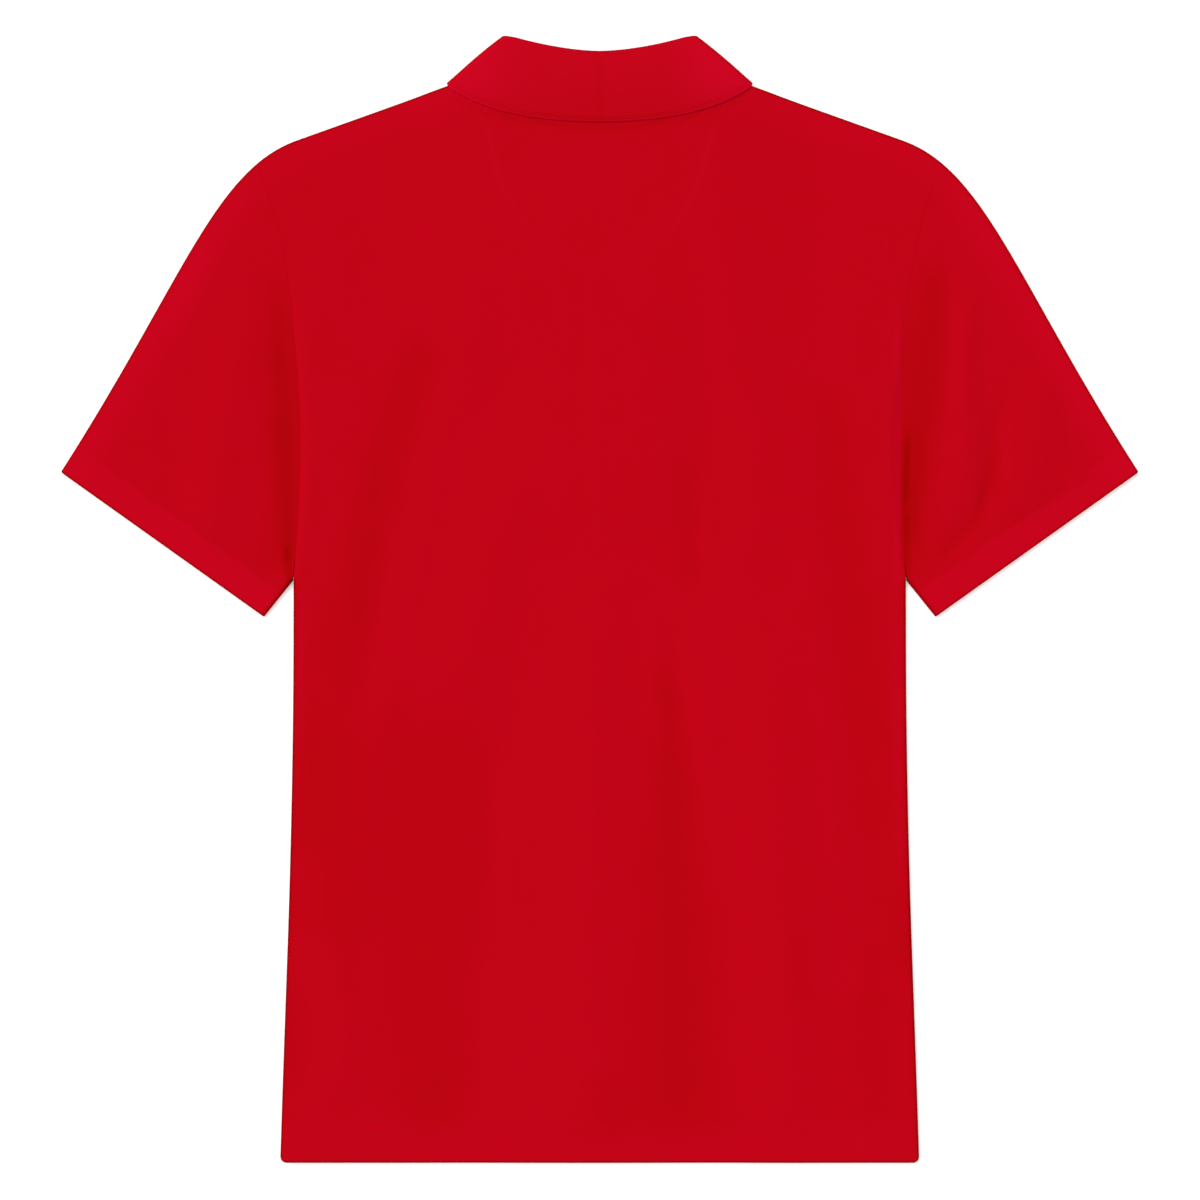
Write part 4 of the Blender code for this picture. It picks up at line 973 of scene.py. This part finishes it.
def makeCollar():
    sections, angles, toEnd = collarSections()
    half, free = (np.array(part) for part in collarMiddle(sections, angles))
    middle = np.concatenate([half[:0:-1] * (-1, 1, 1), half])
    free = np.concatenate([free[:0:-1], free])
    toEnd = np.concatenate([toEnd[:0:-1], toEnd])[:, None]
    normal = np.cross(np.gradient(middle, axis=0), np.gradient(middle, axis=1))
    normal /= np.linalg.norm(normal, axis=2)[..., None]
    normal *= np.sign(normal[len(middle) // 2, collar["fallRow"], 2])    # so it points up on the fall
    thin = roundedEdge(np.minimum(free, toEnd), collar["thick"] / 2)
    x, y, z = np.moveaxis(middle, -1, 0)
    facing = normal[..., 2]
    onTop = ramp(facing, collar["topFacing"]) * ramp(z, collar["topZ"])
    relief = -collar["middleDent"] * groove(x, collar["dentWidth"]) * onTop * ease(free / collar["edgeFade"])
    waves = np.sin(x / collar["waveAcross"] + collar["waveStart"]) * np.sin(y / collar["waveAlong"])
    relief += collar["waviness"] * waves * ease(free / collar["waveFade"])
    values = {"tone": collarTone(x, y, z, free, facing, onTop), "hemLine": free, "seamLine": x}
    return clothPiece("collarCloth", wallSides(middle, normal, collar["thick"], thin, relief), values)


# half-moon and placket

straightUp = np.array((0.0, 0.0, 1.0))


def makeHalfMoon():
    half, thick = halfMoon["half"], halfMoon["thick"]
    shares = np.sin(np.linspace(-1, 1, halfMoon["columns"]) * math.pi / 2)
    lifts = np.concatenate([halfMoon["lowSteps"], np.linspace(*halfMoon["evenSteps"]), halfMoon["highSteps"]])
    x = np.repeat((shares * half)[None], len(lifts), axis=0)
    low = halfMoon["centreY"] - halfMoon["depth"] * np.sqrt(np.maximum(1 - shares ** 2, 0))
    high = np.minimum(neckBackY(np.minimum(np.abs(x[0]), body["neckHalf"])) - halfMoon["neckGap"],
                      shoulderY(x[0]) - halfMoon["shoulderGap"])
    y = low + (high - low) * lifts[:, None]
    z = backMid(x, y) - cloth["thick"] / 2 - halfMoon["clear"] - thick / 2
    free = np.minimum(y - low, high - y)
    thin = roundedEdge(np.minimum(free, half - np.abs(x)), thick / 2)
    sides = wallSides(pointsAt(x, y, z), straightUp, thick, thin)
    return clothPiece("halfMoonCloth", sides, {"tone": halfMoon["tone"]})


def placketTop():
    return float(neckFrontY(0)) - placket["topGap"]


def evenLine(start, end, step):
    # places between two rounded edges, closer together at both
    edge = placket["edgeSteps"]
    line = [start + inset for inset in edge] + spread(start + edge[-1], end - edge[-1], step)
    return line + [end - inset for inset in reversed(edge[:-1])]


def makeBand(name, lowZ, half):
    low, high = slitEnd() + placket["lowGap"], placketTop()
    x, y = np.meshgrid(evenLine(-half, half, placket["columnStep"]), evenLine(low, high, placket["rowStep"]))
    free = np.minimum(np.minimum(x + half, half - x), np.minimum(y - low, high - y))
    thin = roundedEdge(free, cloth["thick"] / 2)
    middle = pointsAt(x, y, lowZ + cloth["thick"] / 2)
    values = {"hemLine": free - placket["boxInset"] + lineSpacing(body) / 2}
    return clothPiece(name, wallSides(middle, straightUp, cloth["thick"], thin), values)


def buttonHeights():
    return [placketTop() - placket["firstDown"] - k * placket["pitch"] for k in range(3)]


# stitches

stitch = {"pitch": 3.0, "length": 2.5, "width": 0.36, "height": 0.15, "sink": 0.03, "skew": 4.0}
satin = {"pitch": 0.5, "length": 1.5, "width": 0.36, "height": 0.3, "sink": 0.05, "skew": 3.0}
bar = {"pitch": 0.42, "length": 3.3, "width": 0.45, "height": 0.42, "sink": -0.06, "skew": 2.0}

thread = {
    "rings": ((-0.36, 0.78), (-0.1, 1.0), (0.1, 1.0), (0.36, 0.78)),    # place along a stitch, swelling
    "corners": 6, "shortest": 0.94, "longest": 1.05,
    "feel": 0.4,         # how far to each side the way along a path is taken from
    "slopeStep": 0.6,    # and the slope of the cloth
    "sideGap": 1.2, "armpitGap": 12.0, "shoulderGap": 6.0, "cuffEdgeGap": 1.1, "cuffArmholeGap": 2.0,
    "cuffOverrun": 0.12,
    "satinHalf": 0.85, "satinEnd": 1.4,    # half the width of a buttonhole's sides and of its end bars
    "holeRing": 1.7, "buttonTop": 0.42,
}

random = np.random.default_rng(7)


def stitchRun(points, normals, look, turned=False):
    # evenly spaced short threads along a path that lies on the cloth
    run = np.concatenate([[0], np.cumsum(np.linalg.norm(np.diff(points, axis=0), axis=1))])
    count = max(1, int(run[-1] / look["pitch"]))
    at = (np.arange(count) + 0.5) * run[-1] / count
    normal = sampled(normals, run, at)
    normal /= np.linalg.norm(normal, axis=1)[:, None]
    along = sampled(points, run, at + thread["feel"]) - sampled(points, run, at - thread["feel"])
    along -= normal * np.sum(along * normal, axis=1)[:, None]
    along /= np.linalg.norm(along, axis=1)[:, None]
    side = np.cross(normal, along)
    if turned:
        along, side = side, -along
    skew = np.radians(random.uniform(-look["skew"], look["skew"], count))[:, None]
    along, side = along * np.cos(skew) + side * np.sin(skew), side * np.cos(skew) - along * np.sin(skew)
    lengths = random.uniform(thread["shortest"], thread["longest"], count)
    return sampled(points, run, at) - normal * look["sink"], along, side, normal, lengths


def stitchShape():
    # one stitch of length, width and height 1: a point, rings that swell to the middle, and a point
    corners, rings = thread["corners"], thread["rings"]
    points = [(-0.5, 0.0, 0.0)]
    for share, swell in rings:
        for k in range(corners):
            angle = 2 * math.pi * k / corners
            points.append((share, swell * math.cos(angle) / 2, swell * math.sin(angle) / 2))
    points.append((0.5, 0.0, 0.0))
    faces = []
    for k in range(corners):
        a, b = 1 + k, 1 + (k + 1) % corners
        faces.append((0, b, a))
        for low in range(0, corners * (len(rings) - 1), corners):
            faces.append((low + a, low + b, low + corners + b, low + corners + a))
        faces.append((low + corners + a, low + corners + b, len(points) - 1))
    return np.array(points), faces


def stitchPiece(name, runs, look):
    shape, shapeFaces = stitchShape()
    points, faces = [], []
    for run in runs:
        for place, along, side, normal, length in zip(*run):
            base = len(points) * len(shape)
            sized = shape * (look["length"] * length, look["width"], look["height"])
            points.append(place + sized @ np.array([along, side, normal]))
            faces += [[base + corner for corner in face] for face in shapeFaces]
    return smoothMesh(name, np.concatenate(points) * mm, faces)


def onCloth(x, y, upper):
    # points on the outer face of a layer, and the way out of the cloth there
    outside = 1 if upper else -1
    step = thread["slopeStep"]

    def heightAt(px, py):
        middle, _, distance = layerMiddle(px, py, upper)
        relief = 0.0
        if upper:
            relief = fineRelief(px, py, distance) + hemRise(py - body["hemY"], body)
        return middle[..., 2] + (cloth["thick"] / 2 + relief) * outside

    slopeX = (heightAt(x + step, y) - heightAt(x - step, y)) / (2 * step)
    slopeY = (heightAt(x, y + step) - heightAt(x, y - step)) / (2 * step)
    return pointsAt(x, y, heightAt(x, y)), pointsAt(-slopeX, -slopeY, 1.0) * outside


def clothRun(x, y, upper, look=stitch):
    return stitchRun(*onCloth(x, y, upper), look)


def hemRuns(upper):
    runs = []
    for line in body["stitchRows"]:
        y = body["hemY"] + line
        half = float(sideX(y)) - cloth["thick"] / 2 - thread["sideGap"]
        x = np.linspace(-half, half, pathPoints["hem"])
        runs.append(clothRun(x, np.full_like(x, y), upper))
    return runs


def armholeRuns(upper):
    low, high = body["armpitY"] + thread["armpitGap"], armhole[-1][0] - thread["shoulderGap"]
    y = np.linspace(low, high, pathPoints["armhole"])
    edge = armholeX(y) if upper else frontArmholeX(y)
    return [clothRun((edge - topstitch["fromSeam"]) * side, y, upper, topstitch) for side in (-1, 1)]


def cuffRuns(side, upper):
    topEdge, underEdge = sleeveEdges()
    alongCuff, alongUnder = underEdge[-1] - topEdge[-1], underEdge[1] - underEdge[0]
    inward = np.array([alongCuff[1], -alongCuff[0]]) / np.linalg.norm(alongCuff)
    share = np.linspace(-thread["cuffOverrun"], 1 + thread["cuffOverrun"], pathPoints["cuff"])[:, None]
    runs = []
    for line in sleeve["stitchRows"]:
        x, y = (topEdge[-1] + alongCuff * share + inward * line).T
        overUnder = (x - underEdge[0, 0]) * alongUnder[1] < (y - underEdge[0, 1]) * alongUnder[0]
        inside = overUnder & (y < shoulderY(x)) & (x > armholeX(y) + thread["cuffArmholeGap"])
        inside &= nearestEdge(x, y)[0] > thread["cuffEdgeGap"]
        runs.append(clothRun(x[inside] * side, y[inside], upper))
    return runs


def halfMoonRun():
    angle = np.radians(np.linspace(halfMoon["stitchFrom"], halfMoon["stitchTo"], pathPoints["halfMoon"]))
    x = (halfMoon["half"] - halfMoon["stitchInset"]) * np.cos(angle)
    y = halfMoon["centreY"] + (halfMoon["depth"] - halfMoon["stitchInset"]) * np.sin(angle)
    return clothRun(x, y, True)


def flatRun(start, end, z, look, turned=False):
    # a straight run on the underside, which faces down
    path = np.linspace((*start, z), (*end, z), pathPoints["straight"])
    return stitchRun(path, np.tile(-straightUp, (len(path), 1)), look, turned)


def placketRuns():
    inset = placket["boxInset"]
    half, low, high = placket["half"] - inset, slitEnd() + inset, placketTop() - placket["boxTop"]
    boxTop = low + placket["boxHigh"]
    lines = [((-half, high), (-half, low)), ((half, high), (half, low)),
             ((-half, low), (half, low)), ((-half, boxTop), (half, boxTop))]
    return [flatRun(start, end, placket["lowZ"], stitch) for start, end in lines]


def buttonholeRuns():
    side, end, hole = thread["satinHalf"], thread["satinEnd"], placket["holeHalf"]
    runs = []
    for y in buttonHeights():
        lines = [((x, y - hole), (x, y + hole)) for x in (-side, side)]
        lines += [((-end, at), (end, at)) for at in (y - hole, y + hole)]
        runs += [flatRun(*line, placket["lowZ"], satin, True) for line in lines]
    return runs


def buttonThreadRuns(y):
    # two bars of thread across the four holes, on the button's outer face
    ring, reach = thread["holeRing"] / math.sqrt(2), bar["pitch"]
    return [flatRun((x - reach, y), (x + reach, y), thread["buttonTop"], bar, True) for x in (-ring, ring)]


def makeStitching():
    plan = {
        "backHemStitching": (hemRuns(True), stitch),
        "frontHemStitching": (hemRuns(False), stitch),
        "backArmholeStitching": (armholeRuns(True), topstitch),
        "frontArmholeStitching": (armholeRuns(False), topstitch),
        "halfMoonStitching": ([halfMoonRun()], stitch),
        "placketStitching": (placketRuns(), stitch),
        "buttonholeStitching": (buttonholeRuns(), satin),
        "cuffStitchingLeft": (cuffRuns(-1, True) + cuffRuns(-1, False), stitch),
        "cuffStitchingRight": (cuffRuns(1, True) + cuffRuns(1, False), stitch),
    }
    for k, y in enumerate(buttonHeights()):
        plan[f"buttonThread{k + 1}"] = (buttonThreadRuns(y), bar)
    made = {name: stitchPiece(name, runs, look) for name, (runs, look) in plan.items()}
    print("stitching:", sum(len(piece.data.polygons) for piece in made.values()), "faces")
    return made


# finishes

class Wire:
    # one socket of a material; Python's operators on it add Math nodes
    def __init__(self, finish, socket):
        self.finish, self.socket = finish, socket

    def other(self, name):
        return Wire(self.finish, self.socket.node.outputs[name])

    def math(self, operation, *values):
        return self.finish.node("ShaderNodeMath", {"operation": operation}, dict(enumerate(values)))

    def __add__(self, value):
        return self.math("ADD", self, value)

    def __radd__(self, value):
        return self.math("ADD", value, self)

    def __sub__(self, value):
        return self.math("SUBTRACT", self, value)

    def __rsub__(self, value):
        return self.math("SUBTRACT", value, self)

    def __mul__(self, value):
        return self.math("MULTIPLY", self, value)

    def __rmul__(self, value):
        return self.math("MULTIPLY", value, self)

    def __truediv__(self, value):
        return self.math("DIVIDE", self, value)

    def __rtruediv__(self, value):
        return self.math("DIVIDE", value, self)

    def __pow__(self, value):
        return self.math("POWER", self, value)

    def __abs__(self):
        return self.math("ABSOLUTE", self)


class Finish:
    # a material in the making, whose nodes all come from its node method
    def __init__(self, name, plain):
        self.material = bpy.data.materials.new(name)
        self.material.use_nodes = True
        self.tree = self.material.node_tree
        self.shader = self.tree.nodes["Principled BSDF"]
        for key, value in plain.items():
            self.shader.inputs[key].default_value = value

    def put(self, socket, value):
        if isinstance(value, Wire):
            self.tree.links.new(value.socket, socket)
        else:
            socket.default_value = value

    def node(self, kind, settings=None, sockets=None, out=0):
        made = self.tree.nodes.new(kind)
        for key, value in (settings or {}).items():
            if key == "stops":
                self.setStops(made.color_ramp, value)
            else:
                setattr(made, key, value)
        for key, value in (sockets or {}).items():
            self.put(made.inputs[key], value)
        return Wire(self, made.outputs[out])

    def setStops(self, ramp, stops):
        while len(ramp.elements) < len(stops):
            ramp.elements.new(0.5)
        for element, (place, colour) in zip(ramp.elements, stops):
            element.position, element.color = place, colour

    def feed(self, **links):
        for key, value in links.items():
            self.put(self.shader.inputs[key.replace("_", " ")], value)
        return self.material

    def ownPlace(self):
        return self.node("ShaderNodeTexCoord", out="Object")

    def laidOut(self, turn=0):
        # the piece's own place in millimetres, turned by this many degrees
        return self.node("ShaderNodeMapping", {}, {
            "Vector": self.ownPlace(), "Rotation": (0, 0, math.radians(turn)), "Scale": (1 / mm,) * 3})

    def noise(self, place, scale, detail, **more):
        return self.node("ShaderNodeTexNoise", {}, {"Vector": place, "Scale": scale, "Detail": detail} | more)

    def bump(self, height):
        return self.node("ShaderNodeBump", {}, {"Strength": 1.0, "Distance": mm, "Height": height})

    def number(self, name):
        # one of the numbers on a cloth piece's points
        return self.node("ShaderNodeAttribute", {"attribute_name": name}, out="Fac")

    def redAt(self, share):
        # share is 0 at the dark stop and 1 at the light one
        darkAt = red["stops"][1][0]
        return self.node("ShaderNodeValToRGB", {"stops": red["stops"]}, {0: darkAt + share * (1 - darkAt)})


red = {
    "stops": (
        # place on the ramp, colour
        (0.0, (0.200, 0.0001, 0.0004, 1)),
        (0.3, (0.385, 0.0002, 0.0008, 1)),
        (0.55, (0.471, 0.0003, 0.0047, 1)),
        (1.0, (0.625, 0.0004, 0.0195, 1)),
    ),
    "middle": 0.467,    # share of the way from dark to light at which the plain cloth stands
    "perTone": 4.2,     # how far along that way a change of 1 in tone goes
}

clothPlain = {
    "Specular IOR Level": 0.03, "Sheen Weight": 0.03, "Sheen Roughness": 0.5,
    "Sheen Tint": (1, 0.06, 0.08, 1),
}

pique = {
    # cells: pitch across and along, depth, and painted shade and light that follows their height
    "wale": 1.45, "course": 1.25, "depth": 0.035, "cellShade": 0.02,
    # scale of each noise, for each millimetre, and how much of it shows
    "fuzzScale": 1.6, "fuzz": 0.02, "mottleScale": 0.035, "mottle": 0.09, "mottleRough": 0.6,
    "grainScale": 0.55, "grain": 0.07,
    "rough": 0.9, "roughGrain": 0.08,
    # the grooves that stitching pulls into the cloth, and the painted shade in them
    "rowWidth": 0.7, "lineWidth": 0.8, "lineDepth": 0.025, "grooveShade": 0.005,
}


def wave(wire, pitch):
    turns = wire * (2 * math.pi / pitch)
    return turns.math("SINE", turns)


def stitchGroove(distance, width):
    return 1 / (1 + (distance / width) ** 4)


def lineSpacing(part):
    return part["stitchRows"][1] - part["stitchRows"][0]


def piqueFinish(name, turn, part):
    finish = Finish(name, clothPlain)
    laid = finish.laidOut(turn)
    sides = finish.node("ShaderNodeSeparateXYZ", {}, {0: laid})
    cells = wave(sides, pique["wale"]) * wave(sides.other("Y"), pique["course"])
    fuzz = finish.noise(laid, pique["fuzzScale"], 3)
    mottle = finish.noise(laid, pique["mottleScale"], 4, Roughness=pique["mottleRough"])
    grain = finish.noise(laid, pique["grainScale"], 2)
    lines = stitchGroove(abs(finish.number("hemLine")) - lineSpacing(part) / 2, pique["rowWidth"])
    for line in ("seamLine", "moonLine"):
        lines = lines + stitchGroove(finish.number(line), pique["lineWidth"])
    # painted shade in the stitching's grooves
    tone = finish.number("tone") - lines * pique["grooveShade"]
    share = red["middle"] + tone * red["perTone"] + (mottle - 0.5) * pique["mottle"]
    # grain, and painted shade and light that follows the cells' height
    share = share + (grain - 0.5) * pique["grain"] + cells * pique["cellShade"]
    height = cells * pique["depth"] + fuzz * pique["fuzz"] - lines * pique["lineDepth"]
    rough = pique["rough"] + (grain - 0.5) * pique["roughGrain"]
    return finish.feed(Base_Color=finish.redAt(share), Roughness=rough, Normal=finish.bump(height))


collarKnit = {
    # ribs: pitch, depth, and painted shade and light that follows their height
    "ribPitch": 1.7, "depth": 0.05, "ribShade": 0.012,
    "fuzzScale": 1.4, "fuzz": 0.04, "mottleScale": 0.05, "mottle": 0.05, "rough": 0.84, "roughMottle": 0.06,
    "cordAt": 2.4, "cordWidth": 0.5, "cordDepth": 0.12,    # the groove beside the cord at the free edge
}


def collarFinish():
    finish = Finish("collarKnit", clothPlain)
    laid = finish.laidOut()
    free = finish.number("hemLine")
    ribs = wave(free, collarKnit["ribPitch"])
    fuzz = finish.noise(laid, collarKnit["fuzzScale"], 3)
    mottle = finish.noise(laid, collarKnit["mottleScale"], 3)
    cord = stitchGroove(free - collarKnit["cordAt"], collarKnit["cordWidth"])
    share = red["middle"] + finish.number("tone") * red["perTone"]
    # mottle, and painted shade and light that follows the ribs
    share = share + (mottle - 0.5) * collarKnit["mottle"] + ribs * collarKnit["ribShade"]
    height = ribs * collarKnit["depth"] + fuzz * collarKnit["fuzz"] - cord * collarKnit["cordDepth"]
    rough = collarKnit["rough"] + (mottle - 0.5) * collarKnit["roughMottle"]
    return finish.feed(Base_Color=finish.redAt(share), Roughness=rough, Normal=finish.bump(height))


sewingThread = {
    # the twist's pitch, slant and depth, painted shade and light that follows it, and how much lighter the
    # thread is
    "twistPitch": 0.35, "twistSlant": 0.7, "twistDepth": 0.02, "twistShade": 0.04, "lighter": 0.16,
    "tintScale": 0.4, "tint": 0.2, "rough": 0.62, "roughTwist": 0.03,
}


def threadFinish():
    look = sewingThread
    finish = Finish("sewingThread", {"Specular IOR Level": 0.06})
    laid = finish.laidOut()
    sides = finish.node("ShaderNodeSeparateXYZ", {}, {0: laid})
    twist = wave(sides + sides.other("Y") * look["twistSlant"], look["twistPitch"])
    tint = finish.noise(laid, look["tintScale"], 1)
    # painted shade and light that follows the twist
    share = red["middle"] + look["lighter"] + (tint - 0.5) * look["tint"] + twist * look["twistShade"]
    return finish.feed(Base_Color=finish.redAt(share), Roughness=look["rough"] + twist * look["roughTwist"],
                       Normal=finish.bump(twist * look["twistDepth"]))


buttonPlastic = {
    "swirlScale": 0.22, "swirl": 0.35, "twirl": 1.4, "share": 0.2, "wearScale": 2.4, "wearDepth": 0.012,
    "rough": 0.26, "roughWear": 0.14, "coat": 0.25, "coatSwirl": 0.1,
}


def buttonFinish():
    look = buttonPlastic
    finish = Finish("redButton", {"Specular IOR Level": 0.5, "Coat Roughness": 0.12})
    laid = finish.laidOut()
    swirl = finish.noise(laid, look["swirlScale"], 4, Distortion=look["twirl"])
    wear = finish.noise(laid, look["wearScale"], 3)
    return finish.feed(Base_Color=finish.redAt(look["share"] + swirl * look["swirl"]),
                       Roughness=look["rough"] + wear * look["roughWear"],
                       Coat_Weight=look["coat"] + swirl * look["coatSwirl"],
                       Normal=finish.bump(wear * look["wearDepth"]))


def floorFinish():
    finish = Finish("paleFloor", {
        "Specular IOR Level": 0.1, "Emission Color": (1, 1, 1, 1), "Emission Strength": studio["floorGlow"]})
    cloud = finish.noise(finish.ownPlace(), studio["cloudScale"], 2)
    dull, pale = studio["floorColours"]
    shade = finish.node("ShaderNodeMix", {"data_type": "RGBA"}, {0: cloud, 6: dull, 7: pale}, 2)
    return finish.feed(Base_Color=shade, Roughness=studio["floorRough"])


# everything together

def coat(piece, material):
    piece.data.materials.clear()
    piece.data.materials.append(material)


def dress(piece, material):
    coat(piece, material)
    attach(piece, "root")


def declare(nodes):
    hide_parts(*nodes)


def makeShirt():
    back, front = makePanels()
    left, right = makeSleeve("sleeveClothLeft", -1), makeSleeve("sleeveClothRight", 1)
    print("sleeves:", len(left.data.vertices), "points each")
    collarPiece = makeCollar()
    print("collar:", len(collarPiece.data.vertices), "points")
    moon = makeHalfMoon()
    bandTop = makeBand("placketTopCloth", placket["lowZ"], placket["bandHalf"])
    bandUnder = makeBand("placketUnderCloth", placket["underZ"], placket["underHalf"])
    stitching = makeStitching()
    buttons = ["button_1", "button_2", "button_3"]

    bodyPique = piqueFinish("bodyPique", 0, body)
    for piece in (back, front, moon, bandTop, bandUnder):
        dress(piece, bodyPique)
    dress(left, piqueFinish("sleevePiqueLeft", -sleeve["turn"], sleeve))
    dress(right, piqueFinish("sleevePiqueRight", sleeve["turn"], sleeve))
    dress(collarPiece, collarFinish())
    sewing = threadFinish()
    for piece in stitching.values():
        dress(piece, sewing)
    plastic = buttonFinish()
    for name in buttons:
        coat(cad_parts[name], plastic)

    declare(["back"])
    declare(["front"])
    declare(["sleeve_left"])
    declare(["sleeve_right"])
    declare(["collar"])
    declare(["half_moon"])
    declare(["placket_top"])
    declare(["placket_under"])


studio = {
    "floorSize": 60.0, "floorDrop": 0.0004, "floorRough": 0.9, "cloudScale": 1.2, "world": 0.66,
    "floorColours": ((0.93, 0.93, 0.93, 1), (0.96, 0.96, 0.96, 1)),
    "floorGlow": 0.3,    # a light table, so the pale ground stays white close to the cloth
    "keyStrength": 1.75, "keySpread": 52.0, "keyFrom": (-0.75, 0.62, 1.2),
    "lens": 85.0, "sensor": 36.0, "cameraAt": (0.0002, -0.0004, 1.9005),
}


def evenLight(name, at, strength, spreadAngle):
    # a broad light so far away that it is as strong all over the shirt
    data = bpy.data.lights.new(name, "SUN")
    data.energy, data.angle = strength, math.radians(spreadAngle)
    x, y, z = at
    addObject(name, data, at).rotation_euler = (math.atan2(math.hypot(x, y), z), 0.0, math.atan2(x, -y))


def makeStudio():
    half = studio["floorSize"] / 2
    mesh = bpy.data.meshes.new("floor")
    corners = [(-half, -half, 0), (half, -half, 0), (half, half, 0), (-half, half, 0)]
    mesh.from_pydata(corners, [], [(0, 1, 2, 3)])
    floor = addObject("floor", mesh, (0.0, 0.0, -studio["floorDrop"]))
    mesh.materials.append(floorFinish())
    evenLight("keyLight", studio["keyFrom"], studio["keyStrength"], studio["keySpread"])
    world = bpy.data.worlds.new("studioAir")
    world.use_nodes = True
    air = world.node_tree.nodes["Background"].inputs
    air["Color"].default_value, air["Strength"].default_value = (1, 1, 1, 1), studio["world"]
    bpy.context.scene.world = world
    bpy.context.scene.view_settings.view_transform = "Standard"
    camera = addObject("camera", bpy.data.cameras.new("camera"), studio["cameraAt"])
    camera.data.lens, camera.data.sensor_width = studio["lens"], studio["sensor"]
    bpy.context.scene.camera = camera
    print("studio ready")


makeShirt()
makeStudio()
